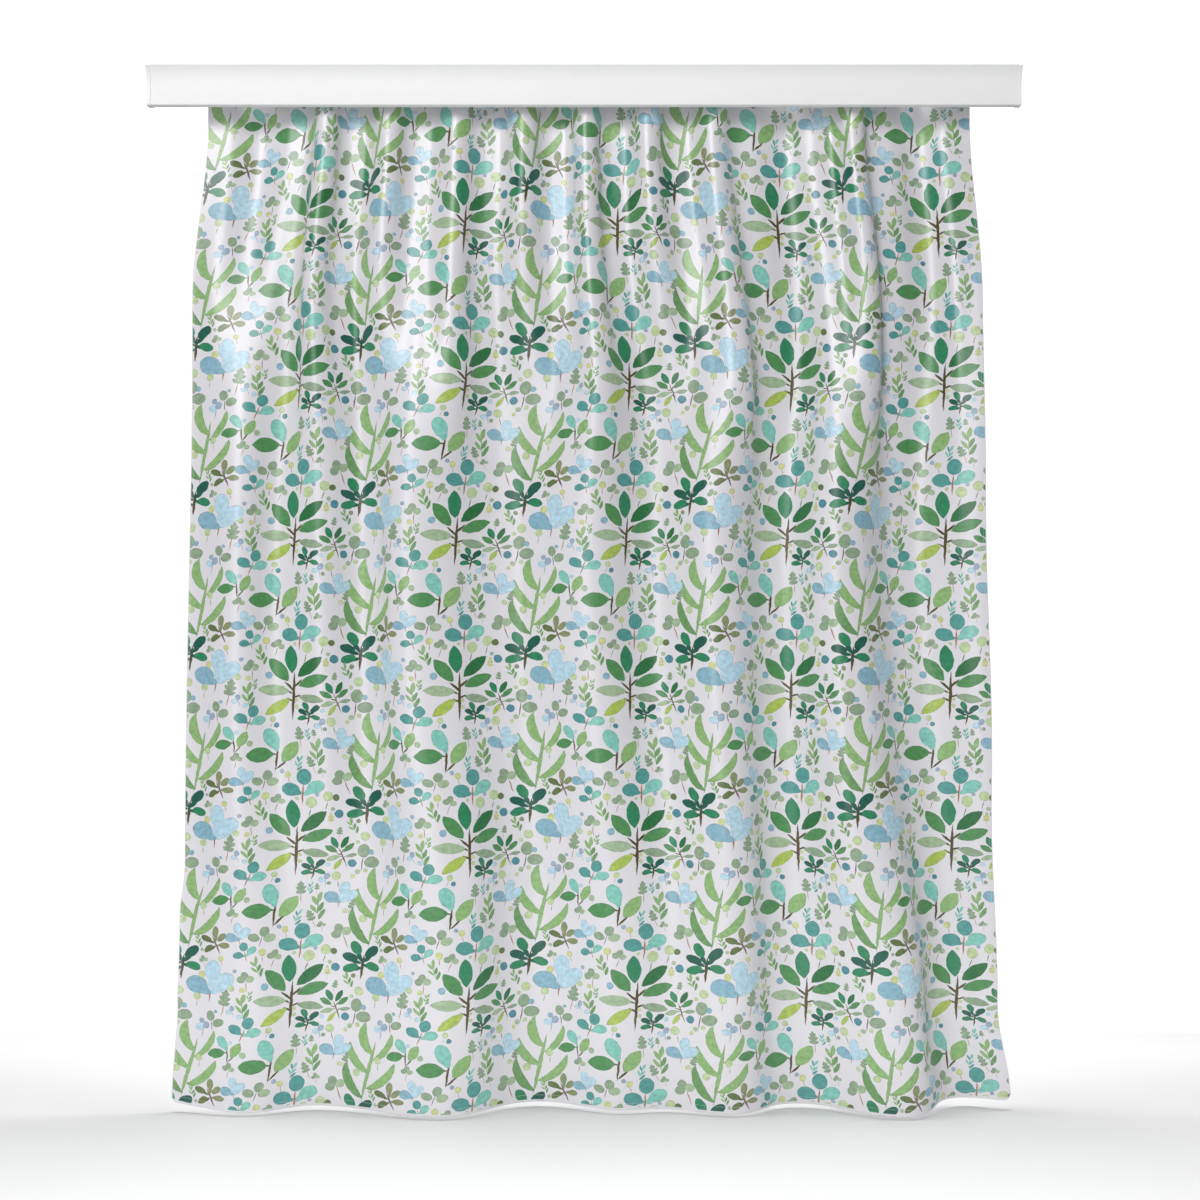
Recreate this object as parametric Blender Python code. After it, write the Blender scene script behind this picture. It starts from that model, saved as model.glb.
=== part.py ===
"""Shower curtain hooked to a ceiling track with a clip-on fascia.

Frame: +X along the track to the right, -Y towards the viewer in front of the fascia, +Z up.
The origin is the middle of the track's ceiling face, on the line that the gliders run along.
All sizes are in metres.
"""
import math
from bisect import bisect_right

import bmesh
import bpy
from mathutils import Matrix, Vector

# ---- cloth ----
CUT_WIDTH = 1.80            # flat width of the finished curtain
DROP = 2.02                 # flat height of the finished curtain
FULLNESS = 1.19             # flat width over the width it hangs at the header
PANEL_THICKNESS = 0.0008
EYELET_COUNT = 12
EYELET_SIDE_INSET = 0.030   # first and last eyelet, from the side edge
EYELET_TOP_INSET = 0.0135   # eyelet centre, from the top edge
EYELET_FLAT = 0.012         # half the width that stays flat around an eyelet
TAPE_HEIGHT = 0.026
TAPE_THICKNESS = 0.0008
TAPE_TOP_INSET = 0.0015
STRAIGHT_HEADER = 0.040     # height of the header in which the folds run straight down
HEM_HEIGHT = 0.016
HEM_WEIGHT_RADIUS = 0.0012
HUNG_OFFSET = 0.009         # how far the hung header sits to the right of the track's middle

# Depth of the cloth between neighbouring eyelets, as shares: forward is negative.
HEADER_FOLDS = (0.5, -1.0, -0.9, -0.8, -0.9, -1.0, -0.95, -0.85, 0.5, -1.0, 0.6)
# Turning points of the folds half way down and at the hem: share of the width, share of the depth.
MIDDLE_FOLDS = (
    (0.0, 0.2), (0.06, -0.7), (0.11, 0.3), (0.16, -0.5), (0.215, 0.5), (0.28, -1.0), (0.40, 0.8),
    (0.5, -0.7), (0.575, 0.6), (0.655, -0.9), (0.74, 0.8), (0.82, -1.0), (0.91, 0.8), (1.0, -0.5),
)
HEM_FOLDS = (
    (0.0, 0.1), (0.081, -0.5), (0.163, 0.35), (0.309, -1.0), (0.427, 0.9), (0.527, -0.2),
    (0.573, 0.05), (0.651, -0.6), (0.729, 0.7), (0.858, -1.0), (0.946, 0.9), (1.0, 0.4),
)
# How far each side edge stands outside the header's edge: share of the drop, distance.
LEFT_FLARE = ((0.02, 0.0), (0.21, 0.034), (0.76, 0.049), (0.81, 0.059), (0.90, 0.063), (1.0, 0.074))
RIGHT_FLARE = ((0.02, 0.0), (0.20, 0.024), (0.40, 0.028), (0.68, 0.0435), (0.90, 0.061), (1.0, 0.086))

# ---- eyelets, hooks and gliders ----
EYELET_HOLE_RADIUS = 0.005
EYELET_BARREL = 0.001       # wall of the barrel
EYELET_FLANGE = 0.0035      # how far the flanges reach past the barrel
EYELET_FLANGE_THICKNESS = 0.0008
WIRE_RADIUS = 0.0011
HOOK_HEIGHT = 0.019         # between the wire's centres
HOOK_HALF_WIDTH = 0.008
HOOK_CORNER = 0.0048        # radius of the wire's four bends
HOOK_OPENING = 0.006        # gap in the wire's back run
HOOK_SLACK = 0.0006         # room above and below the wire in the eye and the eyelet
GLIDER_EYE_DROP = 0.007     # eye's centre below the track
GLIDER_EYE_HOLE = 0.0025
GLIDER_EYE_WALL = 0.002
GLIDER_THICKNESS = 0.0024
GLIDER_HEAD = (0.011, 0.012, 0.0035)
GLIDER_NECK_WIDTH = 0.006

# ---- track ----
LEFT_REVEAL = 0.1027        # bare track beside the hung header
RIGHT_REVEAL = 0.0847
WEB = 0.003
CHANNEL_WALL = 0.002
CHANNEL_INSIDE = (0.016, 0.008)
SLOT_WIDTH = 0.006
PLATE_FRONT = 0.058         # plate's front edge, in front of the glider line
RIB_THICKNESS = 0.002
RIB_DROP = 0.010
FIXING_HOLE_RADIUS = 0.00225
FIXING_HOLE_COUNT = 4
FIXING_HOLE_Y = -0.030
FIXING_END_INSET = 0.10
CEILING_GAP = 0.0005        # what isn't the track stays this far under the ceiling

# ---- fascia, caps, clips and stops ----
FASCIA_HEIGHT = 0.075
FASCIA_WALL = 0.002
FASCIA_GAP = 0.0125         # from the plate's front edge to the waist of the cove
COVE_DEPTH = 0.015
COVE_HEIGHT = 0.045
NOSE_RADIUS = 0.003
NOSE_FORWARD = 0.002
RETURN_DEPTH = 0.0145
RIB_SPACING = 0.0025        # between the fascia's rib and the track's rib
END_CAP_THICKNESS = 0.008
CAP_BACK_LIP = 0.002
CAP_PLUG_LENGTH = 0.012
CLIP_COUNT = 4
CLIP_LENGTH = 0.030
CLIP_WALL = 0.0022
CLIP_END_INSET = 0.16
STOP_LENGTH = 0.014
STOP_FROM_PLUG = 0.006
STOP_SCREW_RADIUS = 0.002
STOP_SCREW_LENGTH = 0.005
STOP_SCREW_PROUD = 0.0005   # how far the screw stands below its stop
STOP_SCREW_SLOT = (0.0008, 0.001)   # width and depth
CAP_EDGE = 0.0006           # bevel of the end caps
CUTTER_LENGTH = 0.02        # of the rods that cut round holes

GAP = 0.0003                # between pieces that touch
ROUND_SIDES = 16

# ---- sizes that follow ----
TOP_WIDTH = CUT_WIDTH / FULLNESS
RAIL_LENGTH = TOP_WIDTH + LEFT_REVEAL + RIGHT_REVEAL
HEADER_LEFT = HUNG_OFFSET - TOP_WIDTH / 2
TRACK_HALF = RAIL_LENGTH / 2 - END_CAP_THICKNESS - GAP
CHANNEL_HALF = CHANNEL_INSIDE[0] / 2 + CHANNEL_WALL
LIP_TOP = -(WEB + CHANNEL_INSIDE[1])
TRACK_BOTTOM = LIP_TOP - CHANNEL_WALL
EYE_Z = TRACK_BOTTOM - GLIDER_EYE_DROP
HOOK_TOP = EYE_Z - GLIDER_EYE_HOLE + WIRE_RADIUS + HOOK_SLACK
HOOK_BOTTOM = HOOK_TOP - HOOK_HEIGHT
EYELET_Z = HOOK_BOTTOM - EYELET_HOLE_RADIUS + WIRE_RADIUS + HOOK_SLACK
HEADER_TOP = EYELET_Z + EYELET_TOP_INSET
HEM_BOTTOM = HEADER_TOP - DROP
EYELET_PITCH = (CUT_WIDTH - 2 * EYELET_SIDE_INSET) / (EYELET_COUNT - 1)
TAPE_OFFSET = PANEL_THICKNESS / 2 + GAP + TAPE_THICKNESS / 2

WHITE_PVC = ((0.90, 0.90, 0.90), 0.35, 0.0)
WHITE_NYLON = ((0.86, 0.86, 0.85), 0.45, 0.0)
CLOTH_PRINT = ((0.62, 0.72, 0.65), 0.75, 0.0)
CLOTH_WHITE = ((0.88, 0.88, 0.88), 0.80, 0.0)
NICKEL = ((0.72, 0.72, 0.71), 0.22, 1.0)
STEEL = ((0.55, 0.56, 0.57), 0.30, 1.0)
LEAD_GREY = ((0.30, 0.31, 0.33), 0.60, 0.0)


def material(name, finish):
    """Return a Principled BSDF material of one colour, roughness and metallic value."""
    colour, roughness, metallic = finish
    result = bpy.data.materials.get(name) or bpy.data.materials.new(name)
    result.use_nodes = True
    shader = result.node_tree.nodes["Principled BSDF"]
    shader.inputs["Base Color"].default_value = (*colour, 1.0)
    shader.inputs["Roughness"].default_value = roughness
    shader.inputs["Metallic"].default_value = metallic
    return result


def add_object(name, mesh, finish_name, finish, location=(0.0, 0.0, 0.0)):
    """Put a mesh in the scene as one named piece."""
    piece = bpy.data.objects.new(name, mesh)
    piece.location = location
    bpy.context.scene.collection.objects.link(piece)
    if not mesh.materials:
        mesh.materials.append(material(finish_name, finish))
    return piece


def mesh_from(bm, name):
    """Turn a bmesh into a mesh whose faces point out."""
    bmesh.ops.recalc_face_normals(bm, faces=bm.faces)
    mesh = bpy.data.meshes.new(name)
    bm.to_mesh(mesh)
    bm.free()
    return mesh


def extruded(name, outline, x_low, x_high):
    """Extrude a closed outline of (y, z) points from x_low to x_high."""
    bm = bmesh.new()
    near = [bm.verts.new((x_low, y, z)) for y, z in outline]
    face = bm.faces.new(near)
    grown = bmesh.ops.extrude_face_region(bm, geom=[face])
    moved = [item for item in grown["geom"] if isinstance(item, bmesh.types.BMVert)]
    bmesh.ops.translate(bm, verts=moved, vec=(x_high - x_low, 0.0, 0.0))
    return mesh_from(bm, name)


def box(name, low, high):
    """Make a box between two corners."""
    bm = bmesh.new()
    size = [b - a for a, b in zip(low, high)]
    middle = [(a + b) / 2 for a, b in zip(low, high)]
    place = Matrix.Translation(middle) @ Matrix.Diagonal((*size, 1.0))
    bmesh.ops.create_cube(bm, size=1.0, matrix=place)
    return mesh_from(bm, name)


def rods(name, places, radius, length, axis):
    """Make parallel round rods of one radius and length, centred on the places, along an axis."""
    bm = bmesh.new()
    turn = Vector((0.0, 0.0, 1.0)).rotation_difference(Vector(axis)).to_matrix().to_4x4()
    for place in places:
        bmesh.ops.create_cone(
            bm, cap_ends=True, segments=ROUND_SIDES, radius1=radius, radius2=radius, depth=length,
            matrix=Matrix.Translation(place) @ turn,
        )
    return mesh_from(bm, name)


def guide(name, mesh):
    """Put a mesh in the scene as a cutter or a shape to join, which isn't a piece itself."""
    helper = bpy.data.objects.new(name, mesh)
    helper.hide_render = True
    helper.display_type = "WIRE"
    bpy.context.scene.collection.objects.link(helper)
    return helper


def combine(piece, helper, operation):
    """Cut a helper from a piece, or join it to the piece."""
    modifier = piece.modifiers.new(helper.name, "BOOLEAN")
    modifier.object = helper
    modifier.operation = operation
    modifier.solver = "EXACT"


def soften(piece, width):
    """Take the sharpness off a piece's edges."""
    modifier = piece.modifiers.new("soft_edges", "BEVEL")
    modifier.width = width
    modifier.segments = 1
    modifier.limit_method = "ANGLE"
    modifier.angle_limit = math.radians(50.0)


# ---- the folds of the cloth ----

def eased(points, share):
    """Read a list of (share, value) turning points, with a smooth run from each to the next."""
    shares = [point[0] for point in points]
    after = bisect_right(shares, share)
    if after == 0:
        return points[0][1]
    if after == len(points):
        return points[-1][1]
    (low, start), (high, end) = points[after - 1], points[after]
    turn = (1.0 - math.cos(math.pi * (share - low) / (high - low))) / 2
    return start + (end - start) * turn


def header_fold(along):
    """Depth share of the header at a distance along the cut width: flat at every eyelet."""
    from_first = along - EYELET_SIDE_INSET
    gap_number = math.floor(from_first / EYELET_PITCH)
    if not 0 <= gap_number < len(HEADER_FOLDS):
        return 0.0
    inside = (from_first - gap_number * EYELET_PITCH - EYELET_FLAT) / (EYELET_PITCH - 2 * EYELET_FLAT)
    inside = min(max(inside, 0.0), 1.0)
    return HEADER_FOLDS[gap_number] * (1.0 - math.cos(2 * math.pi * inside)) / 2


def fold_share(along, down):
    """Depth share of the cloth at a distance along the cut width and a share of the drop."""
    to_middle = eased(((STRAIGHT_HEADER / DROP, 0.0), (0.45, 1.0)), down)
    to_hem = eased(((0.45, 0.0), (0.95, 1.0)), down)
    share = along / CUT_WIDTH
    upper = (1.0 - to_middle) * header_fold(along) + to_middle * eased(MIDDLE_FOLDS, share)
    return (1.0 - to_hem) * upper + to_hem * eased(HEM_FOLDS, share)


def hung_length(steps, depth):
    """Width that the cut width hangs at when its fold shares have this depth."""
    run = CUT_WIDTH / len(steps)
    return sum(math.sqrt(max(run * run - (depth * step) ** 2, 0.0)) for step in steps)


def cloth_line(down, stations):
    """Points (x, y) of the cloth at a share of the drop, one for each station along the cut width.

    The cloth doesn't stretch, so the depth of the folds is the one that takes up its full width.
    """
    left = HEADER_LEFT - eased(LEFT_FLARE, down)
    width = HEADER_LEFT + TOP_WIDTH + eased(RIGHT_FLARE, down) - left
    count = 720
    shares = [fold_share(CUT_WIDTH * index / count, down) for index in range(count + 1)]
    steps = [after - before for before, after in zip(shares, shares[1:])]
    shallow, deep = 0.0, CUT_WIDTH / count / max(abs(step) for step in steps)
    for _ in range(40):
        depth = (shallow + deep) / 2
        if hung_length(steps, depth) > width:
            shallow = depth
        else:
            deep = depth
    run = CUT_WIDTH / count
    across = [0.0]
    for step in steps:
        across.append(across[-1] + math.sqrt(max(run * run - (depth * step) ** 2, 0.0)))
    points = []
    for along in stations:
        place = min(along / run, count - 1e-9)
        index = int(place)
        part = place - index
        x = left + (across[index] * (1.0 - part) + across[index + 1] * part) * width / across[-1]
        points.append((x, depth * (shares[index] * (1.0 - part) + shares[index + 1] * part)))
    return points


def eyelet_stations():
    """Distances of the eyelets along the cut width."""
    return [EYELET_SIDE_INSET + EYELET_PITCH * index for index in range(EYELET_COUNT)]


def column_stations():
    """Distances along the cut width where the cloth's mesh has its columns."""
    between = 4
    stations = [0.0]
    for index, along in enumerate(eyelet_stations()):
        stations += [along - EYELET_FLAT, along + EYELET_FLAT]
        if index < EYELET_COUNT - 1:
            run = EYELET_PITCH - 2 * EYELET_FLAT
            stations += [along + EYELET_FLAT + run * step / between for step in range(1, between)]
    return stations + [CUT_WIDTH]


def offset_line(line, distance):
    """Shift a line of (x, y) points sideways by a distance: positive is towards the back."""
    shifted = []
    for index, here in enumerate(line):
        before = line[max(index - 1, 0)]
        after = line[min(index + 1, len(line) - 1)]
        into = Vector((here[0] - before[0], here[1] - before[1])) if index else None
        out = Vector((after[0] - here[0], after[1] - here[1])) if index < len(line) - 1 else into
        into = (into or out).normalized()
        out = out.normalized()
        normal = Vector((-into.y, into.x)) + Vector((-out.y, out.x))
        normal.normalize()
        reach = distance / max(normal.dot(Vector((-into.y, into.x))), 0.5)
        shifted.append((here[0] + normal.x * reach, here[1] + normal.y * reach))
    return shifted


def swept(name, rings):
    """Close a list of rings, each a list of points, into one body with flat ends."""
    bm = bmesh.new()
    rows = [[bm.verts.new(point) for point in ring] for ring in rings]
    count = len(rings[0])
    for row, after in zip(rows, rows[1:]):
        for index in range(count):
            other = (index + 1) % count
            # the same diagonal on both faces of the sheet keeps its thickness where it twists
            if rings[0][index][2] >= rings[0][other][2]:
                bm.faces.new((row[index], row[other], after[other]))
                bm.faces.new((row[index], after[other], after[index]))
            else:
                bm.faces.new((row[index], row[other], after[index]))
                bm.faces.new((row[other], after[other], after[index]))
    ends = [bm.faces.new(rows[0]), bm.faces.new(rows[-1])]
    bmesh.ops.triangulate(bm, faces=ends)
    return mesh_from(bm, name)


def strip_rings(profile):
    """Rings of a strip that follows the cloth: profile is a loop of (height, offset to the back)."""
    stations = column_stations()
    levels = {height: cloth_line((HEADER_TOP - height) / DROP, stations) for height, _ in profile}
    lines = [offset_line(levels[height], offset) for height, offset in profile]
    rings = []
    for column in range(len(stations)):
        ring = [(*line[column], height) for line, (height, _) in zip(lines, profile)]
        rings.append(ring)
    return rings


def panel_profile():
    """Loop of the panel's section: down the front, round the hem, and up the back."""
    half = PANEL_THICKNESS / 2
    shares = (0.0, STRAIGHT_HEADER / DROP, 0.09, 0.2, 0.32, 0.45, 0.58, 0.70, 0.82, 0.93)
    levels = [HEADER_TOP - DROP * share for share in shares]
    pocket = 2 * (HEM_WEIGHT_RADIUS + GAP)
    flap = HEM_BOTTOM + HEM_HEIGHT
    front = [(level, -half) for level in levels] + [(flap, -half), (HEM_BOTTOM, -half)]
    flap_outside = [(HEM_BOTTOM, half + pocket + PANEL_THICKNESS), (flap, half + pocket + PANEL_THICKNESS)]
    flap_inside = [(flap, half + pocket), (HEM_BOTTOM + PANEL_THICKNESS, half + pocket)]
    back = [(HEM_BOTTOM + PANEL_THICKNESS, half), (flap, half)]
    return front + flap_outside + flap_inside + back + [(level, half) for level in reversed(levels)]


def eyelet_places():
    """Centres of the eyelets in the hung header."""
    return [(x, y, EYELET_Z) for x, y in cloth_line(0.0, eyelet_stations())]


# ---- pieces ----

def make_cloth():
    """Panel, header tape and hem weight, with a hole for each eyelet."""
    hole = EYELET_HOLE_RADIUS + EYELET_BARREL + GAP
    cutter = guide("eyelet_cutter", rods("eyelet_cutter", eyelet_places(), hole, CUTTER_LENGTH, (0, 1, 0)))
    panel_mesh = swept("curtain_panel", strip_rings(panel_profile()))
    panel = add_object("curtain_panel", panel_mesh, "cloth_print", CLOTH_PRINT)
    combine(panel, cutter, "DIFFERENCE")

    top = HEADER_TOP - TAPE_TOP_INSET
    bottom = top - TAPE_HEIGHT
    front, back = TAPE_OFFSET - TAPE_THICKNESS / 2, TAPE_OFFSET + TAPE_THICKNESS / 2
    loop = [(top, front), (bottom, front), (bottom, back), (top, back)]
    tape_mesh = swept("header_tape", strip_rings(loop))
    tape = add_object("header_tape", tape_mesh, "cloth_white", CLOTH_WHITE)
    combine(tape, cutter, "DIFFERENCE")

    centre_height = HEM_BOTTOM + PANEL_THICKNESS + GAP + HEM_WEIGHT_RADIUS
    centre_offset = PANEL_THICKNESS / 2 + GAP + HEM_WEIGHT_RADIUS
    sides = 6
    loop = []
    for index in range(sides):
        turn = 2 * math.pi * index / sides
        rise, back = math.sin(turn) * HEM_WEIGHT_RADIUS, math.cos(turn) * HEM_WEIGHT_RADIUS
        loop.append((centre_height + rise, centre_offset + back))
    weight = swept("hem_weight", strip_rings(loop))
    add_object("hem_weight", weight, "lead_grey", LEAD_GREY)


def make_eyelets():
    """One pressed eyelet for each hole: a barrel with a flange on each side of the cloth."""
    inner = EYELET_HOLE_RADIUS
    barrel = inner + EYELET_BARREL
    rim = barrel + EYELET_FLANGE
    front = -(PANEL_THICKNESS / 2 + GAP)
    back = TAPE_OFFSET + TAPE_THICKNESS / 2 + GAP
    outer_front, outer_back = front - EYELET_FLANGE_THICKNESS, back + EYELET_FLANGE_THICKNESS
    profile = [
        (inner, outer_front), (rim, outer_front), (rim, front), (barrel, front),
        (barrel, back), (rim, back), (rim, outer_back), (inner, outer_back),
    ]
    bm = bmesh.new()
    rings = []
    for index in range(ROUND_SIDES):
        turn = 2 * math.pi * index / ROUND_SIDES
        rings.append([bm.verts.new((r * math.cos(turn), y, r * math.sin(turn))) for r, y in profile])
    for index, ring in enumerate(rings):
        after = rings[(index + 1) % ROUND_SIDES]
        for point in range(len(profile)):
            other = (point + 1) % len(profile)
            bm.faces.new((ring[point], ring[other], after[other], after[point]))
    mesh = mesh_from(bm, "eyelet")
    for number, place in enumerate(eyelet_places(), 1):
        add_object(f"eyelet_{number:02d}", mesh, "nickel", NICKEL, place)


def hook_route():
    """Route (y, z) of a hook's wire: up the back from the opening, over, and round below."""
    middle = (HOOK_TOP + HOOK_BOTTOM) / 2 - EYE_Z
    reach, rise = HOOK_HALF_WIDTH - HOOK_CORNER, HOOK_HEIGHT / 2 - HOOK_CORNER
    route = [(HOOK_HALF_WIDTH, middle + HOOK_OPENING / 2)]
    steps = 3
    for quarter, (side, level) in enumerate(((1, 1), (-1, 1), (-1, -1), (1, -1))):
        for step in range(steps + 1):
            turn = math.pi / 2 * (quarter + step / steps)
            y = side * reach + HOOK_CORNER * math.cos(turn)
            route.append((y, middle + level * rise + HOOK_CORNER * math.sin(turn)))
    return route + [(HOOK_HALF_WIDTH, middle - HOOK_OPENING / 2)]


def make_hooks():
    """One open wire loop between each glider's eye and its eyelet."""
    route = hook_route()
    for number, (x, y, _) in enumerate(eyelet_places(), 1):
        curve = bpy.data.curves.new(f"hook_{number:02d}", "CURVE")
        curve.dimensions = "3D"
        curve.bevel_depth = WIRE_RADIUS
        curve.bevel_resolution = 1
        curve.use_fill_caps = True
        spline = curve.splines.new("POLY")
        spline.points.add(len(route) - 1)
        for point, (side, rise) in zip(spline.points, route):
            point.co = (0.0, side, rise, 1.0)
        add_object(f"hook_{number:02d}", curve, "steel", STEEL, (x, y, EYE_Z))


def glider_mesh():
    """T-shaped runner: a head in the channel, a neck through the slot, and an eye below."""
    outer = GLIDER_EYE_HOLE + GLIDER_EYE_WALL
    neck = GLIDER_NECK_WIDTH / 2
    head_bottom = LIP_TOP + GAP - EYE_Z
    lift = head_bottom + GLIDER_HEAD[2] / 2
    meet = math.asin(neck / outer)
    turns = [math.pi / 2 + meet + (2 * math.pi - 2 * meet) * index / 12 for index in range(13)]
    outline = [(outer * math.cos(turn), outer * math.sin(turn)) for turn in turns]
    outline += [(neck, lift), (-neck, lift)]
    bm = bmesh.new()
    half = GLIDER_THICKNESS / 2
    near = [bm.verts.new((x, -half, z)) for x, z in outline]
    grown = bmesh.ops.extrude_face_region(bm, geom=[bm.faces.new(near)])
    moved = [item for item in grown["geom"] if isinstance(item, bmesh.types.BMVert)]
    bmesh.ops.translate(bm, verts=moved, vec=(0.0, 2 * half, 0.0))
    return mesh_from(bm, "glider"), head_bottom


def make_gliders():
    """One glider above each eyelet."""
    mesh, head_bottom = glider_mesh()
    length, width, height = GLIDER_HEAD
    head_low = (-length / 2, -width / 2, head_bottom)
    head_high = (length / 2, width / 2, head_bottom + height)
    for number, (x, y, _) in enumerate(eyelet_places(), 1):
        name = f"glider_{number:02d}"
        glider = add_object(name, mesh.copy(), "white_nylon", WHITE_NYLON, (x, y, EYE_Z))
        head = guide(f"{name}_head", box(f"{name}_head", head_low, head_high))
        hole_mesh = rods(f"{name}_hole", [(0.0, 0.0, 0.0)], GLIDER_EYE_HOLE, CUTTER_LENGTH, (0, 1, 0))
        hole = guide(f"{name}_hole", hole_mesh)
        for helper in (head, hole):
            helper.parent = glider
        combine(glider, head, "UNION")
        combine(glider, hole, "DIFFERENCE")


def even_places(count, inset):
    """Places along the track, evenly spaced between two end insets."""
    reach = TRACK_HALF - inset
    return [-reach + 2 * reach * index / (count - 1) for index in range(count)]


def make_track():
    """C-channel for the gliders with a plate and a rib in front, and holes for ceiling screws."""
    half_in, half_slot = CHANNEL_INSIDE[0] / 2, SLOT_WIDTH / 2
    outline = [
        (-PLATE_FRONT, 0.0), (CHANNEL_HALF, 0.0), (CHANNEL_HALF, TRACK_BOTTOM),
        (half_slot, TRACK_BOTTOM), (half_slot, LIP_TOP), (half_in, LIP_TOP), (half_in, -WEB),
        (-half_in, -WEB), (-half_in, LIP_TOP), (-half_slot, LIP_TOP), (-half_slot, TRACK_BOTTOM),
        (-CHANNEL_HALF, TRACK_BOTTOM), (-CHANNEL_HALF, -WEB), (RIB_THICKNESS - PLATE_FRONT, -WEB),
        (RIB_THICKNESS - PLATE_FRONT, -RIB_DROP), (-PLATE_FRONT, -RIB_DROP),
    ]
    mesh = extruded("track", outline, -TRACK_HALF, TRACK_HALF)
    track = add_object("track", mesh, "white_pvc", WHITE_PVC)
    places = [(x, FIXING_HOLE_Y, 0.0) for x in even_places(FIXING_HOLE_COUNT, FIXING_END_INSET)]
    holes = rods("fixing_holes", places, FIXING_HOLE_RADIUS, 4 * WEB, (0, 0, 1))
    combine(track, guide("fixing_holes", holes), "DIFFERENCE")


def fascia_front(out=0.0):
    """Front outline of the fascia from top to nose, moved back by a distance."""
    waist = -(PLATE_FRONT + FASCIA_GAP) + out
    points = []
    steps = 8
    for index in range(steps + 1):
        share = index / steps
        points.append((waist - COVE_DEPTH * (1.0 - share) ** 2, -CEILING_GAP - COVE_HEIGHT * share))
    return points


def nose(radius, centre):
    """Quarter round of the nose, from its front to its underside."""
    turns = [math.pi + math.pi / 2 * index / 4 for index in range(5)]
    return [(centre[0] + radius * math.cos(turn), centre[1] + radius * math.sin(turn)) for turn in turns]


def nose_centre():
    """Centre of the fascia's rounded nose."""
    front = -(PLATE_FRONT + FASCIA_GAP + NOSE_FORWARD)
    return (front + NOSE_RADIUS, NOSE_RADIUS - FASCIA_HEIGHT)


def make_fascia():
    """Coved front with a top flange, a rib for the clips and a return along the bottom."""
    rib_back = -(PLATE_FRONT + RIB_SPACING)
    rib_front = rib_back - RIB_THICKNESS
    under = -CEILING_GAP - FASCIA_WALL
    return_back = nose_centre()[0] + RETURN_DEPTH - NOSE_RADIUS
    outline = fascia_front()
    outline += nose(NOSE_RADIUS, nose_centre())
    outline += [(return_back, -FASCIA_HEIGHT), (return_back, FASCIA_WALL - FASCIA_HEIGHT)]
    outline += reversed(nose(NOSE_RADIUS - FASCIA_WALL, nose_centre()))
    outline += [point for point in reversed(fascia_front(FASCIA_WALL)) if point[1] < under]
    outline += [(-(PLATE_FRONT + FASCIA_GAP) - COVE_DEPTH + 2 * FASCIA_WALL, under)]
    outline += [(rib_front, under), (rib_front, -RIB_DROP), (rib_back, -RIB_DROP)]
    outline += [(rib_back, -CEILING_GAP)]
    mesh = extruded("fascia", outline, -TRACK_HALF, TRACK_HALF)
    add_object("fascia", mesh, "white_pvc", WHITE_PVC)


def make_fascia_clips():
    """E-section spring clips, pushed up over the fascia's rib and the track's rib."""
    fascia_rib = (-(PLATE_FRONT + RIB_SPACING) - RIB_THICKNESS, -(PLATE_FRONT + RIB_SPACING))
    track_rib = (-PLATE_FRONT, RIB_THICKNESS - PLATE_FRONT)
    top = -WEB - 2 * GAP
    groove = -RIB_DROP - GAP
    outline = [
        (fascia_rib[0] - GAP - CLIP_WALL, groove - CLIP_WALL),
        (track_rib[1] + GAP + CLIP_WALL, groove - CLIP_WALL),
        (track_rib[1] + GAP + CLIP_WALL, top), (track_rib[1] + GAP, top),
        (track_rib[1] + GAP, groove), (track_rib[0] - GAP, groove),
        (track_rib[0] - GAP, top), (fascia_rib[1] + GAP, top),
        (fascia_rib[1] + GAP, groove), (fascia_rib[0] - GAP, groove),
        (fascia_rib[0] - GAP, top), (fascia_rib[0] - GAP - CLIP_WALL, top),
    ]
    for number, x in enumerate(even_places(CLIP_COUNT, CLIP_END_INSET), 1):
        mesh = extruded("fascia_clip", outline, -CLIP_LENGTH / 2, CLIP_LENGTH / 2)
        add_object(f"fascia_clip_{number}", mesh, "white_nylon", WHITE_NYLON, (x, 0.0, 0.0))


def cap_outline():
    """Side outline of an end cap: the fascia's front, its underside, and a sweep up to the back."""
    back = CHANNEL_HALF + CAP_BACK_LIP
    foot = nose_centre()[0] + RETURN_DEPTH - NOSE_RADIUS
    foot_z = -FASCIA_HEIGHT
    heel_z = TRACK_BOTTOM - CAP_BACK_LIP
    outline = fascia_front() + nose(NOSE_RADIUS, nose_centre())
    steps = 8
    for index in range(steps + 1):
        turn = math.pi / 2 * index / steps
        along = foot + (back - foot) * math.sin(turn)
        outline.append((along, heel_z + (foot_z - heel_z) * math.cos(turn) ** 2))
    return outline + [(back, -CEILING_GAP)]


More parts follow.
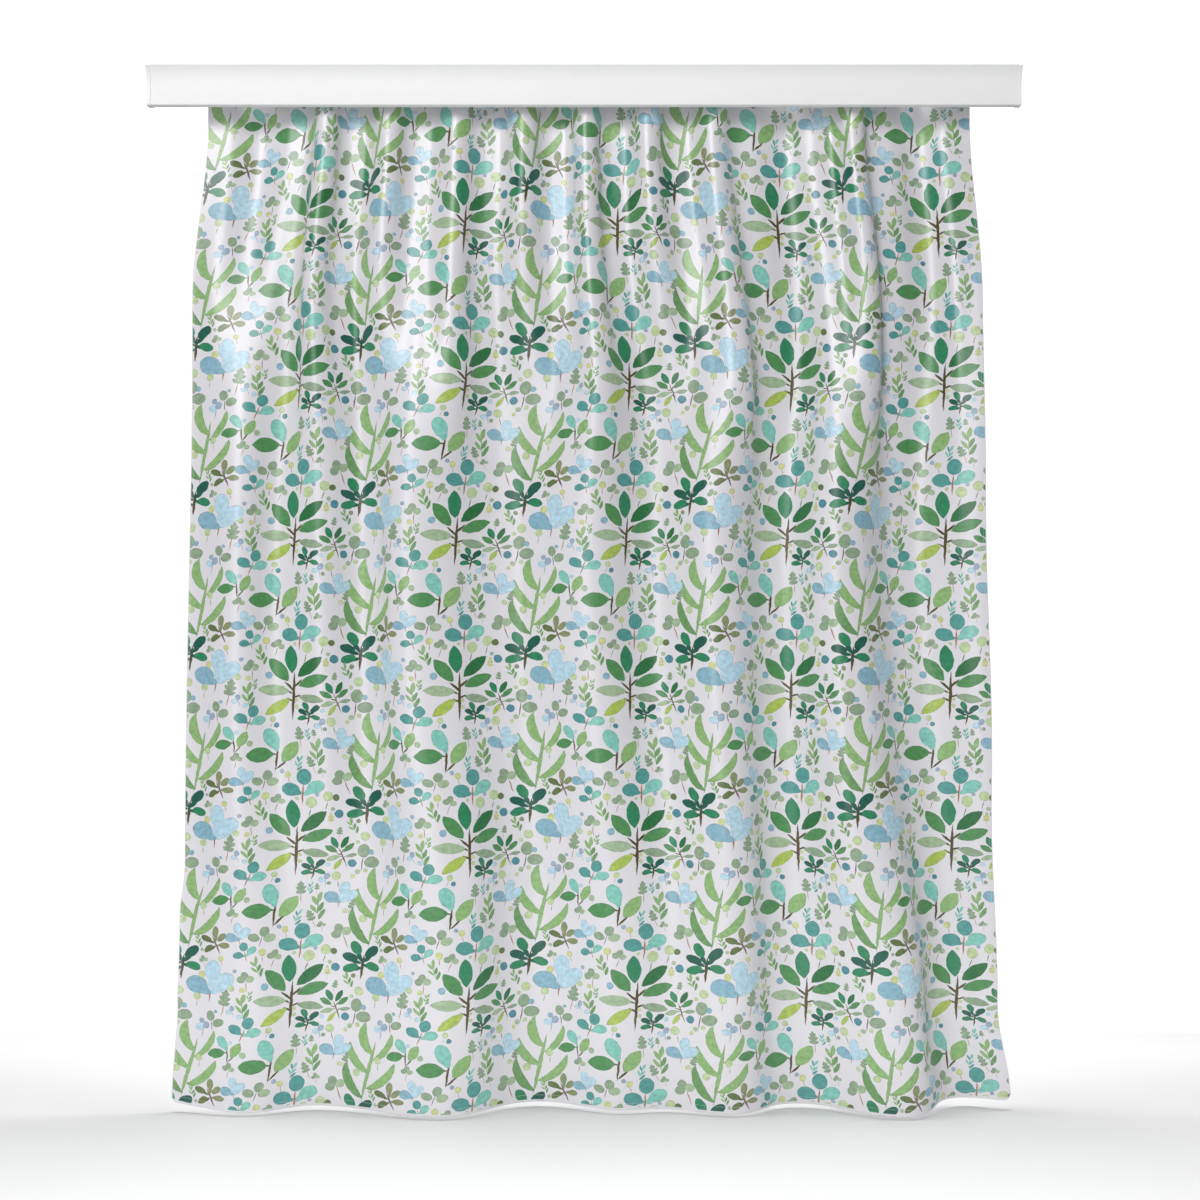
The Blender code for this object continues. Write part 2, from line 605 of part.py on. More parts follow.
def make_end_pieces():
    """End caps, and in the channel behind each of them a stop with its clamping screw."""
    half_in = CHANNEL_INSIDE[0] / 2 - GAP
    low, high = LIP_TOP + GAP, -WEB - GAP
    hole_radius = STOP_SCREW_RADIUS + GAP
    for side, name in ((-1.0, "left"), (1.0, "right")):
        inner = side * (TRACK_HALF + GAP)
        outer = side * RAIL_LENGTH / 2
        mesh = extruded(f"end_cap_{name}", cap_outline(), min(inner, outer), max(inner, outer))
        cap = add_object(f"end_cap_{name}", mesh, "white_pvc", WHITE_PVC)
        soften(cap, CAP_EDGE)
        tip = side * (TRACK_HALF - CAP_PLUG_LENGTH)
        root = side * (TRACK_HALF + END_CAP_THICKNESS / 2)
        plug = box(f"plug_{name}", (min(tip, root), -half_in, low), (max(tip, root), half_in, high))
        combine(cap, guide(f"plug_{name}", plug), "UNION")

        middle = side * (TRACK_HALF - CAP_PLUG_LENGTH - STOP_FROM_PLUG - STOP_LENGTH / 2)
        stop_low = (middle - STOP_LENGTH / 2, -half_in, low)
        stop_high = (middle + STOP_LENGTH / 2, half_in, high)
        stop_mesh = box(f"end_stop_{name}", stop_low, stop_high)
        stop = add_object(f"end_stop_{name}", stop_mesh, "white_nylon", WHITE_NYLON)
        screw_foot = low - STOP_SCREW_PROUD
        centre = (middle, 0.0, screw_foot + STOP_SCREW_LENGTH / 2)
        hole_length = STOP_SCREW_LENGTH + 2 * GAP
        hole = rods(f"screw_hole_{name}", [centre], hole_radius, hole_length, (0, 0, 1))
        combine(stop, guide(f"screw_hole_{name}", hole), "DIFFERENCE")
        name = f"stop_screw_{name}"
        screw = rods(name, [centre], STOP_SCREW_RADIUS, STOP_SCREW_LENGTH, (0, 0, 1))
        screw = add_object(name, screw, "steel", STEEL)
        reach, half_slot, depth = 2 * STOP_SCREW_RADIUS, STOP_SCREW_SLOT[0] / 2, STOP_SCREW_SLOT[1]
        slot_low = (middle - reach, -half_slot, screw_foot - depth)
        slot_high = (middle + reach, half_slot, screw_foot + depth)
        combine(screw, guide(f"{name}_slot", box(f"{name}_slot", slot_low, slot_high)), "DIFFERENCE")


def main():
    """Clear the scene and build every piece."""
    for item in list(bpy.data.objects):
        bpy.data.objects.remove(item, do_unlink=True)
    make_track()
    make_fascia()
    make_fascia_clips()
    make_end_pieces()
    make_gliders()
    make_hooks()
    make_eyelets()
    make_cloth()


main()
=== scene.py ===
"""Shower curtain on a ceiling track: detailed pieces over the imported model, and a stage for them."""
import math

import bmesh
import bpy
import numpy as np
from bpy.props import FloatProperty, FloatVectorProperty, IntProperty, PointerProperty
from mathutils import Matrix, Vector


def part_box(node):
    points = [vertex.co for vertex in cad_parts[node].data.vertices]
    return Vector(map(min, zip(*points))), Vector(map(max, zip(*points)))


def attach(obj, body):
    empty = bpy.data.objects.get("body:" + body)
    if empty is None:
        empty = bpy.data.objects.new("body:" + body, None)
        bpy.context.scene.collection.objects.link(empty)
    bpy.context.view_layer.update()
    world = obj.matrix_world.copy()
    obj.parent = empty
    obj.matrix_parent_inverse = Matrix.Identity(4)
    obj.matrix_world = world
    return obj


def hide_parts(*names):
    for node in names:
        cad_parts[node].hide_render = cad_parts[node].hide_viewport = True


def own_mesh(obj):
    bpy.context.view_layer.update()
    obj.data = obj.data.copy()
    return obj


bl_info = {
    "name": "Shower Curtain on a Ceiling Track",
    "version": (1, 0, 0),
    "blender": (4, 5, 0),
    "location": "3D View > Sidebar > Curtain",
    "description": "Makes a printed shower curtain, its hooks, gliders, eyelets and coved fascia",
    "category": "Add Mesh",
}

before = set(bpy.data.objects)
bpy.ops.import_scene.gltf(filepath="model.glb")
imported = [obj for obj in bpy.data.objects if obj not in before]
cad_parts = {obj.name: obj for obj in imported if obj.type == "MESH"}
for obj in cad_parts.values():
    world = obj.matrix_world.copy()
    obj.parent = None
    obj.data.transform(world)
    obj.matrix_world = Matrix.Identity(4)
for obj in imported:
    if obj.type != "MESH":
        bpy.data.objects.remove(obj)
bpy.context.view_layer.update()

EYELETS = [name for name in sorted(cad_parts) if name.startswith("eyelet_")]
HEADER_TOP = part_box("curtain_panel")[1].z
HEM_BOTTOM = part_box("curtain_panel")[0].z
FASCIA_LOW, FASCIA_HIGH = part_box("fascia")

# ---- the fascia's section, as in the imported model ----
COVE_DEPTH = 0.015
COVE_HEIGHT = 0.045
NOSE_START = 0.013      # the nose's front, behind the fascia's top edge
NOSE_RADIUS = 0.003
NOSE_INSIDE = 0.001     # radius of the nose's inner face
RETURN_DEPTH = 0.0145
RIB_BACK = -0.0605      # the clip rib's back face
RIB_DROP = -0.010       # its foot
CAP_GAP = 0.0003        # between the fascia and an end cap
CAP_HEEL = -0.015       # foot of an end cap's back edge
PLUG_REACH = (0.012, 0.004)                         # a cap's plug, inside and outside the fascia's end
PLUG_SECTION = ((-0.0077, -0.0107), (0.0077, -0.0033))   # its corners (y, z)

# ---- folds of the hung cloth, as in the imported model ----
FULLNESS = 1.19
FOLD_SAMPLES = 721      # points across, where the length of the cloth is measured
HALVINGS = 40           # steps of the search for the folds' depth
HEADER_LEFT = -0.7473
STRAIGHT_HEADER = 0.040
EYELET_SIDE_INSET = 0.030
EYELET_FLAT = 0.012
HEADER_FOLDS = (0.5, -1.0, -0.9, -0.8, -0.9, -1.0, -0.95, -0.85, 0.5, -1.0, 0.6)
MIDDLE_FOLDS = (
    (0.0, 0.2), (0.06, -0.7), (0.11, 0.3), (0.16, -0.5), (0.215, 0.5), (0.28, -1.0), (0.40, 0.8),
    (0.5, -0.7), (0.575, 0.6), (0.655, -0.9), (0.74, 0.8), (0.82, -1.0), (0.91, 0.8), (1.0, -0.5),
)
HEM_FOLDS = (
    (0.0, 0.1), (0.081, -0.5), (0.163, 0.35), (0.309, -1.0), (0.427, 0.9), (0.527, -0.2),
    (0.573, 0.05), (0.651, -0.6), (0.729, 0.7), (0.858, -1.0), (0.946, 0.9), (1.0, 0.4),
)
LEFT_FLARE = ((0.02, 0.0), (0.21, 0.034), (0.76, 0.049), (0.81, 0.059), (0.90, 0.063), (1.0, 0.074))
RIGHT_FLARE = ((0.02, 0.0), (0.20, 0.024), (0.40, 0.028), (0.68, 0.0435), (0.90, 0.061), (1.0, 0.086))
# How far the hem is lifted over its lowest line: share of the width, distance.
HEM_LIFT = (
    (0.0, 0.014), (0.03, 0.007), (0.09, 0.0), (0.163, 0.004), (0.309, 0.0), (0.427, 0.004),
    (0.65, 0.0), (0.729, 0.003), (0.858, 0.0), (0.94, 0.012), (1.0, 0.014),
)

# ---- sewing ----
EYELET_HOLE = 0.0063    # radius of the holes cut for the eyelets
HEM_SEAM = 0.002        # the hem's stitches, below its top edge
GROOVE = (0.00022, 0.0012)      # depth and half width of the groove that they pull in
GATHERS = ((1.0, 0.0165, 0.0), (0.6, 0.0241, 1.0))  # waves of the gathers: share, pitch, phase
GATHER_SPREAD = 0.006   # how far above and below the stitches the gathers fade
TAPE_HEIGHT = 0.026
TAPE_INSET = 0.0015     # the tape's top edge, below the header's
TAPE_GAP = 0.0003       # between cloth and tape
TAPE_SEAMS = (0.0040, 0.0250)   # the tape's stitches, below the header's top edge
SIDE_SEAM = 0.006       # the stitches of a side hem, from the edge
SIDE_SEAM_ENDS = (0.003, 0.021) # their ends, below the top and above the foot
FLAP_OPEN = 0.26        # how far the hem's flap stands off, as a share of its roll
FLAP_GAP = 0.0005       # the least that it stands off

# ---- how the print lies on the cloth ----
PRINT_SHARE = 0.889             # width of the print over that of the flat cloth
PRINT_START = (-0.213, 0.257)   # the print's place at the cloth's top left corner
BARE_EDGE = 0.0016              # no print this near to a side edge
BARE_FOLD = 0.0052              # nor this near to the hem's fold
BARE_FADE = 0.0008
SHOW_THROUGH = 0.30             # how much print shows on the back

# ---- the print: inks, motifs of strokes, and where they sit on one repeat ----
INKS = {
    "forest": (0.020, 0.150, 0.045), "emerald": (0.022, 0.215, 0.100), "leaf": (0.075, 0.250, 0.085),
    "spring": (0.250, 0.430, 0.165), "moss": (0.140, 0.300, 0.110), "lime": (0.380, 0.500, 0.095),
    "sage": (0.250, 0.350, 0.230), "mist": (0.340, 0.460, 0.290), "pine": (0.008, 0.100, 0.065),
    "teal": (0.080, 0.300, 0.280), "aqua": (0.210, 0.530, 0.450), "sky": (0.440, 0.630, 0.740),
    "denim": (0.230, 0.420, 0.520), "slate": (0.300, 0.400, 0.520), "olive": (0.120, 0.170, 0.055),
    "khaki": (0.230, 0.270, 0.130), "cream": (0.480, 0.590, 0.320), "straw": (0.560, 0.600, 0.260),
    "ocean": (0.070, 0.240, 0.290), "bark": (0.080, 0.062, 0.014), "rust": (0.380, 0.170, 0.100),
    "plum": (0.180, 0.070, 0.130),
}
# A stroke is a shape, an ink, its foot x and y, its turn, length and width, in millimetres and degrees.
MOTIFS = {
    "big_sprig": (
        ("blade", "bark", -4, -68, 87, 104, 6), ("blade", "bark", 3, -9, 137, 32, 5),
        ("blade", "bark", -2, 0, 42, 26, 5), ("blade", "bark", 3, -30, 152, 22, 4),
        ("blade", "bark", -3, -12, 150, 16, 4), ("blade", "bark", -3, -20, 22, 18, 4),
        ("blade", "emerald", -4, 29, 94, 56, 27), ("blade", "leaf", -12, 13, 128, 57, 26),
        ("blade", "forest", 8, 22, 41, 62, 24), ("blade", "leaf", 9, 4, 20, 59, 23),
        ("blade", "mist", -9, -7, 176, 60, 22), ("blade", "sage", 9, -17, -10, 48, 17),
        ("blade", "lime", -9, -22, 215, 56, 20),
    ),
    "tall_sprig": (
        ("blade", "spring", -20, -62, 79, 128, 7.5), ("left", "spring", 2, 34, 106, 66, 27),
        ("right", "spring", -1, 24, 58, 68, 19), ("left", "spring", -4, -2, 126, 72, 24),
        ("right", "spring", -13, -34, 46, 80, 23), ("left", "moss", -16, -54, 116, 78, 25),
    ),
    "blue_sprig": (
        ("blade", "rust", -5, -34, 84, 52, 3.8), ("blade", "denim", 0, -14, 158, 34, 17),
        ("blade", "sky", 0, -12, 86, 40, 16), ("blade", "sky", 0, -14, 40, 38, 16),
        ("round", "denim", -8, -4, 166, 44, 36), ("round", "sky", 0, 12, 85, 42, 31),
        ("round", "sky", 8, -3, 42, 44, 31),
    ),
    "teal_sprig": (
        ("blade", "rust", -2, -30, 86, 46, 3.6), ("blade", "teal", -1, -5, 168, 24, 12),
        ("blade", "aqua", 0, -8, 32, 28, 12), ("round", "teal", -6, 0, 172, 33, 26),
        ("round", "teal", 1, 12, 84, 32, 28), ("round", "aqua", 8, 1, 24, 34, 25),
    ),
    "sage_sprig": (
        ("blade", "plum", -2, -26, 86, 42, 3), ("round", "sage", -5, 0, 172, 34, 26),
        ("round", "sage", 1, 10, 80, 32, 27), ("round", "mist", 6, 1, 24, 35, 26),
    ),
    "aqua_sprig": (
        ("blade", "bark", -4, -34, 84, 54, 4.6), ("blade", "bark", -4, -30, 42, 30, 4.2),
        ("blade", "bark", 1, 0, 168, 18, 3.6), ("blade", "aqua", 0, 6, 104, 30, 14),
        ("round", "aqua", -2, 14, 114, 42, 27), ("blade", "leaf", -6, 2, 182, 52, 30),
        ("blade", "spring", 8, -14, 53, 52, 27),
    ),
    "pine_fan": (
        ("blade", "bark", -5, -40, 80, 54, 6), ("blade", "pine", 0, -4, 112, 28, 9),
        ("blade", "pine", 0, -4, 38, 26, 9), ("blade", "pine", 0, -6, 164, 24, 8),
        ("blade", "pine", 0, -14, 190, 24, 8), ("blade", "pine", -1, -8, -14, 24, 8),
        ("round", "emerald", -4, 12, 116, 30, 19), ("round", "pine", 6, 7, 38, 33, 19),
        ("round", "pine", -8, 2, 160, 30, 17), ("round", "emerald", -8, -11, 192, 30, 17),
        ("round", "emerald", 7, -7, -20, 29, 17),
    ),
    "olive_fan": (
        ("blade", "plum", 2, -28, 94, 42, 3.8), ("blade", "khaki", 0, -3, 66, 22, 6),
        ("blade", "olive", 0, -3, 142, 20, 6), ("blade", "olive", 0, -8, 194, 20, 6),
        ("blade", "khaki", 0, -8, -8, 20, 6), ("round", "khaki", 3, 8, 66, 22, 13),
        ("round", "olive", -6, 4, 143, 23, 13), ("round", "khaki", 6, 0, 24, 21, 12),
        ("round", "olive", -7, -6, 198, 21, 12), ("round", "khaki", 6, -9, -20, 20, 12),
    ),
    "sage_pair": (
        ("blade", "plum", 0, -28, 90, 34, 2.6), ("round", "sage", 0, 2, 92, 27, 22),
        ("round", "sage", 3, -8, 14, 29, 22),
    ),
    "clover": (
        ("blade", "rust", 0, -34, 88, 34, 2.4), ("round", "sage", -1, 0, 172, 19, 17),
        ("round", "sage", -4, 1, 82, 20, 17), ("round", "mist", 0, 0, 12, 18, 16),
    ),
    "oak": (
        ("blade", "rust", 0, -28, 88, 30, 2.0), ("round", "sage", 0, -4, 90, 34, 11),
        ("blade", "sage", 0, -2, 32, 13, 8), ("blade", "sage", 0, -2, 148, 13, 8),
        ("blade", "sage", 0, 8, 32, 13, 8), ("blade", "sage", 0, 8, 148, 13, 8),
        ("blade", "sage", 0, 17, 45, 10, 7), ("blade", "sage", 0, 17, 135, 10, 7),
    ),
    "straw_oak": (
        ("blade", "straw", 0, -24, 88, 26, 2.0), ("round", "straw", 0, -4, 90, 34, 11),
        ("blade", "straw", 0, -2, 32, 13, 8), ("blade", "straw", 0, -2, 148, 13, 8),
        ("blade", "straw", 0, 8, 32, 13, 8), ("blade", "straw", 0, 8, 148, 13, 8),
    ),
    "light_sprig": (
        ("blade", "spring", 1, -30, 90, 52, 2.4), ("blade", "spring", 1, 4, 76, 24, 9),
        ("blade", "spring", 0, 0, 116, 22, 7), ("blade", "moss", 1, -14, 62, 22, 8),
        ("blade", "spring", 0, -16, 124, 22, 7), ("blade", "moss", 1, -29, 58, 26, 8),
    ),
    "mint_sprig": (
        ("blade", "teal", 1, -30, 90, 52, 2.4), ("blade", "aqua", 1, 4, 76, 24, 9),
        ("blade", "teal", 0, 0, 116, 22, 7), ("blade", "aqua", 1, -14, 62, 22, 8),
        ("blade", "aqua", 0, -16, 124, 22, 7), ("blade", "teal", 1, -29, 58, 26, 8),
    ),
    "posy": (
        ("blade", "slate", 0, -16, 92, 22, 1.8), ("round", "sky", -1, 0, 170, 13, 11),
        ("round", "slate", 0, 2, 70, 13, 11),
    ),
    "lollipop": (("blade", "olive", -1, -26, 84, 22, 2.2), ("round", "cream", 0, -5, 88, 22, 20)),
    "seed_head": (("blade", "rust", 0, -18, 90, 14, 1.6), ("round", "straw", 0, -6, 90, 13, 12)),
}
PLACED = (
    ("big_sprig", 1, 0, 0, 0), ("tall_sprig", 1, 154.8, 159.8, 0), ("blue_sprig", 1, 184.5, 23.1, 0),
    ("pine_fan", 1, 125.2, 72.2, 4), ("aqua_sprig", 1, 296.5, 173.7, 0), ("teal_sprig", 1, 13.2, 103, 0),
    ("big_sprig", 0.45, 78.1, 284.2, 21), ("blue_sprig", 0.62, 82.1, 194.9, -7),
    ("aqua_sprig", 0.66, 218.7, 199.9, 10), ("teal_sprig", 0.74, 245, 242.4, -16),
    ("olive_fan", 1.0, 189.7, 113.7, 20), ("pine_fan", 0.6, 28.8, 256.2, -1),
    ("sage_pair", 1.0, 115.2, 274.1, -9), ("blue_sprig", 0.5, 235, 126.3, 12),
    ("light_sprig", 1.0, 40.6, 181.6, 3), ("oak", 1.0, 208.4, 297.2, -11), ("clover", 1.0, 85.8, 124.9, 20),
    ("sage_sprig", 0.62, 273.3, 118.9, -12), ("light_sprig", 0.9, 241.5, 295.6, 4),
    ("oak", 0.8, 9.7, 207.6, 6), ("clover", 0.8, 248.2, 39.8, 2), ("lollipop", 1.0, 26.7, 74.5, -9),
    ("teal_sprig", 0.55, 245.8, 90.7, 15), ("sage_pair", 0.75, 184.8, 260, 7),
    ("light_sprig", 0.75, 265.3, 65.8, 16), ("oak", 0.7, 32, 153.2, 21), ("clover", 0.7, 296.9, 82.3, -16),
    ("lollipop", 0.9, 56.9, 87.2, -8), ("light_sprig", 0.62, 98.4, 32.5, 21),
    ("mint_sprig", 0.6, 6.7, 159.7, -16), ("posy", 1.2, 169.9, 242.4, -12), ("oak", 0.6, 99.6, 176.4, -18),
    ("lollipop", 0.8, 69.5, 235.4, 18), ("clover", 0.6, 223.1, 168.3, -8),
    ("light_sprig", 0.5, 154.6, 114.7, 13), ("posy", 1.0, 51, 232, 4), ("oak", 0.5, 75.4, 16.8, -11),
    ("straw_oak", 0.55, 61.5, 44, -2), ("lollipop", 0.7, 154.8, 303.9, -3),
    ("lollipop", 0.65, 164.4, 179.3, 7), ("seed_head", 1.1, 275.5, 92.9, 0),
    ("mint_sprig", 0.45, 24.8, 217, -3), ("clover", 0.5, 167.7, 75, 14),
    ("seed_head", 1.0, 314.8, 134.6, 9), ("posy", 0.85, 224.6, 283.4, 20),
    ("light_sprig", 0.42, 254.7, 8.6, -14), ("oak", 0.42, 37.1, 214.1, 4),
    ("seed_head", 0.9, 201.8, 80, 14), ("lollipop", 0.55, 287.8, 241.9, -16),
    ("clover", 0.42, 49, 140.4, 7),
)
DOTS = (
    ("cream", 9, 121.2, 10.7), ("ocean", 8, 96.1, 264.9), ("denim", 7, 281.1, 24.5),
    ("ocean", 8.5, 76.2, 56.8), ("olive", 6.5, 72, 89.3), ("straw", 7, 164.2, 46.4),
    ("cream", 7.5, 123.8, 155), ("slate", 5.5, 165.5, 259.5), ("cream", 6, 223, 22.6),
    ("denim", 5.5, 131.2, 286.6), ("mist", 6, 246.3, 197.6), ("slate", 4.5, 304.3, 141.6),
    ("cream", 5, 90.5, 169.7), ("sky", 5, 237.5, 274.4), ("straw", 5, 242.1, 19.9),
    ("slate", 4, 228.8, 56.9), ("ocean", 5, 295.4, 233.1), ("cream", 4.5, 119.8, 250.8),
    ("sky", 4, 222.8, 221), ("mist", 5, 105.4, 247.3), ("slate", 4, 39.2, 95.6), ("cream", 4, 4.4, 270.6),
    ("straw", 4, 97.9, 238.6), ("mist", 4, 65.6, 66.9), ("khaki", 4.5, 109.6, 40.9),
    ("sky", 4.5, 52.8, 262.9), ("cream", 4, 107.4, 306.7), ("denim", 3.5, 193, 280.7),
    ("mist", 3.5, 163.4, 95.8), ("straw", 3.5, 4.9, 283.6), ("sage", 4, 56.8, 225.9),
    ("cream", 3.5, 1.9, 87.7),
)


# ---- settings ----

def metres(name, description, default):
    """A setting in metres."""
    return FloatProperty(name=name, description=description, default=default, unit="LENGTH")


class CurtainSettings(bpy.types.PropertyGroup):
    """Sizes of the cloth and its sewing."""

    cut_width: metres("Cut width", "Flat width of the curtain", 1.80)
    drop: metres("Drop", "Flat height of the curtain", HEADER_TOP - HEM_BOTTOM)
    thickness: metres("Thickness", "Thickness of the cloth", 0.0008)
    column: metres("Column", "Spacing of the mesh across", 0.0072)
    row: metres("Row", "Spacing of the mesh down", 0.018)
    hem: metres("Hem", "Height of the hem", 0.016)
    hem_roll: metres("Hem roll", "Radius of the fold around the weight", 0.0019)
    corner: metres("Corner", "Radius of the bottom corners", 0.012)
    crease: metres("Crease", "Depth of the small creases", 0.0022)
    pucker: metres("Pucker", "Depth of the gathers along the hem stitches", 0.00035)
    repeat: FloatVectorProperty(
        name="Repeat", description="Width and height of the print's repeat on the hung cloth",
        size=2, default=(0.3294, 0.3074), unit="LENGTH",
    )
    ground: FloatVectorProperty(
        name="Ground", description="Colour of the unprinted cloth", subtype="COLOR",
        default=(0.75, 0.735, 0.77), min=0.0, max=1.0,
    )


class StitchSettings(bpy.types.PropertyGroup):
    """Sizes of the sewing thread and its stitches."""

    pitch: metres("Pitch", "From stitch to stitch", 0.0042)
    length: metres("Length", "Length of one stitch", 0.0031)
    radius: metres("Radius", "Radius of the thread", 0.00022)


class RailSettings(bpy.types.PropertyGroup):
    """Sizes of the fascia and of the small fittings."""

    wall: metres("Wall", "Wall of the fascia", 0.002)
    cove_steps: IntProperty(name="Cove steps", description="Facets along the cove", default=32, min=4)
    cap_bevel: metres("Cap bevel", "Rounding of the end caps", 0.0008)
    wire: metres("Wire", "Radius of the hook wire", 0.0011)
    sides: IntProperty(name="Sides", description="Facets round an eyelet", default=48, min=12)


class StageSettings(bpy.types.PropertyGroup):
    """Camera, floor and lights."""

    distance: metres("Distance", "Camera to the curtain", 3.2)
    lens: FloatProperty(name="Lens", description="Focal length", default=48.33, unit="CAMERA")
    key: FloatProperty(name="Key", description="Power of the front light", default=160.0, unit="POWER")
    strip: FloatProperty(
        name="Strip", description="Power of the tall narrow light in front", default=55.0, unit="POWER",
    )
    top: FloatProperty(name="Top", description="Power of the light overhead", default=118.0, unit="POWER")
    back: FloatProperty(name="Back", description="Power of the light behind", default=140.0, unit="POWER")
    ambient: FloatProperty(name="Ambient", description="Strength of the surrounding light", default=0.20)


# ---- helpers for meshes ----

def add_piece(name, mesh, materials):
    """Put a finished mesh in the scene as one piece."""
    piece = bpy.data.objects.new(name, mesh)
    bpy.context.scene.collection.objects.link(piece)
    if materials:
        mesh.materials.clear()
        for material in materials:
            mesh.materials.append(material)
    return piece


def cast(piece):
    """Turn an object and its modifiers into a plain mesh, and remove the object."""
    graph = bpy.context.evaluated_depsgraph_get()
    mesh = bpy.data.meshes.new_from_object(piece.evaluated_get(graph), depsgraph=graph)
    bpy.data.objects.remove(piece, do_unlink=True)
    return mesh


def shade(mesh, degrees=40.0):
    """Shade a mesh smooth, but for edges sharper than an angle."""
    mesh.shade_smooth()
    mesh.set_sharp_from_angle(angle=math.radians(degrees))


def outward(mesh, merge=0.0):
    """Turn the faces of a closed mesh outwards."""
    bm = bmesh.new()
    bm.from_mesh(mesh)
    if merge:
        bmesh.ops.remove_doubles(bm, verts=bm.verts, dist=merge)
    bmesh.ops.recalc_face_normals(bm, faces=bm.faces)
    bm.to_mesh(mesh)
    bm.free()
    return mesh


def extruded(name, outline, low, high):
    """Extrude a closed outline of (y, z) points along X."""
    count = len(outline)
    points = [(x, y, z) for x in (low, high) for y, z in outline]
    faces = [(i, (i + 1) % count, count + (i + 1) % count, count + i) for i in range(count)]
    faces += [tuple(range(count)), tuple(range(count, 2 * count))]
    mesh = bpy.data.meshes.new(name)
    mesh.from_pydata(points, [], faces)
    return outward(mesh)


def turned(name, profile, sides):
    """Spin a closed profile of (radius, y) points about the Y axis."""
    count = len(profile)
    points, faces = [], []
    for index in range(sides):
        turn = 2 * math.pi * index / sides
        points += [(r * math.cos(turn), y, r * math.sin(turn)) for r, y in profile]
        start, after = index * count, (index + 1) % sides * count
        for point in range(count):
            other = (point + 1) % count
            faces.append((start + point, start + other, after + other, after + point))
    mesh = bpy.data.meshes.new(name)
    mesh.from_pydata(points, [], faces)
    return outward(mesh)


def solid(name, mesh):
    """A temporary object to cut with or to join."""
    helper = bpy.data.objects.new(name, mesh)
    bpy.context.scene.collection.objects.link(helper)
    return helper


def combined(base, helper, operation):
    """Cut one mesh from another, or join them."""
    piece, other = solid("base", base), solid("helper", helper)
    modifier = piece.modifiers.new("combine", "BOOLEAN")
    modifier.object = other
    modifier.operation = operation
    modifier.solver = "EXACT"
    mesh = cast(piece)
    bpy.data.objects.remove(other, do_unlink=True)
    return mesh


def rounded(mesh, width, segments=2, degrees=40.0):
    """Round the edges of a mesh that are sharper than an angle."""
    piece = solid("rounding", mesh)
    modifier = piece.modifiers.new("rounding", "BEVEL")
    modifier.width = width
    modifier.segments = segments
    modifier.limit_method = "ANGLE"
    modifier.angle_limit = math.radians(degrees)
    modifier.use_clamp_overlap = True
    return cast(piece)


def block(low, high):
    """A box between two corners."""
    bm = bmesh.new()
    size = Vector(high) - Vector(low)
    middle = (Vector(high) + Vector(low)) / 2
    bmesh.ops.create_cube(bm, size=1.0, matrix=Matrix.Translation(middle) @ Matrix.Diagonal((*size, 1.0)))
    mesh = bpy.data.meshes.new("block")
    bm.to_mesh(mesh)
    bm.free()
    return mesh


def bars(places, radius, length, sides):
    """Round bars along Y, centred on the places."""
    bm = bmesh.new()
    lay = Matrix.Rotation(math.pi / 2, 4, "X")
    for place in places:
        bmesh.ops.create_cone(
            bm, cap_ends=True, segments=sides, radius1=radius, radius2=radius, depth=length,
            matrix=Matrix.Translation(place) @ lay,
        )
    mesh = bpy.data.meshes.new("bars")
    bm.to_mesh(mesh)
    bm.free()
    return mesh


# ---- materials ----

class Nodes:
    """Short ways to add and link the nodes of one material."""

    def __init__(self, name):
        self.material = bpy.data.materials.new(name)
        self.material.use_nodes = True
        self.tree = self.material.node_tree
        self.shader = self.tree.nodes["Principled BSDF"]

    def add(self, kind, **values):
        node = self.tree.nodes.new(kind)
        for name, value in values.items():
            setattr(node, name, value)
        return node

    def feed(self, socket, value):
        if hasattr(value, "is_linked"):
            self.tree.links.new(value, socket)
        else:
            socket.default_value = value

    def sum(self, operation, *values):
        node = self.add("ShaderNodeMath", operation=operation)
        for socket, value in zip(node.inputs, values):
            self.feed(socket, value)
        return node.outputs[0]

    def vector(self, operation, *values):
        node = self.add("ShaderNodeVectorMath", operation=operation)
        for socket, value in zip(node.inputs, values):
            self.feed(socket, value)
        return node.outputs["Value" if operation in ("LENGTH", "DISTANCE") else "Vector"]

    def noise(self, place, scale, detail=2.0):
        node = self.add("ShaderNodeTexNoise")
        node.inputs["Scale"].default_value = scale
        node.inputs["Detail"].default_value = detail
        self.feed(node.inputs["Vector"], place)
        return node

    def spread(self, value, low, high, start=0.3, end=0.7):
        node = self.add("ShaderNodeMapRange")
        for socket, number in zip(node.inputs[1:5], (start, end, low, high)):
            socket.default_value = number
        self.feed(node.inputs["Value"], value)
        return node.outputs["Result"]

    def mix(self, share, first, second):
        node = self.add("ShaderNodeMix", data_type="RGBA")
        for index, value in ((0, share), (6, first), (7, second)):
            self.feed(node.inputs[index], value)
        return node.outputs[2]

    def bump(self, height, depth, strength=1.0):
        node = self.add("ShaderNodeBump")
        node.inputs["Strength"].default_value = strength
        node.inputs["Distance"].default_value = depth
        self.feed(node.inputs["Height"], height)
        self.feed(self.shader.inputs["Normal"], node.outputs["Normal"])

    def place(self):
        return self.add("ShaderNodeTexCoord").outputs["Object"]


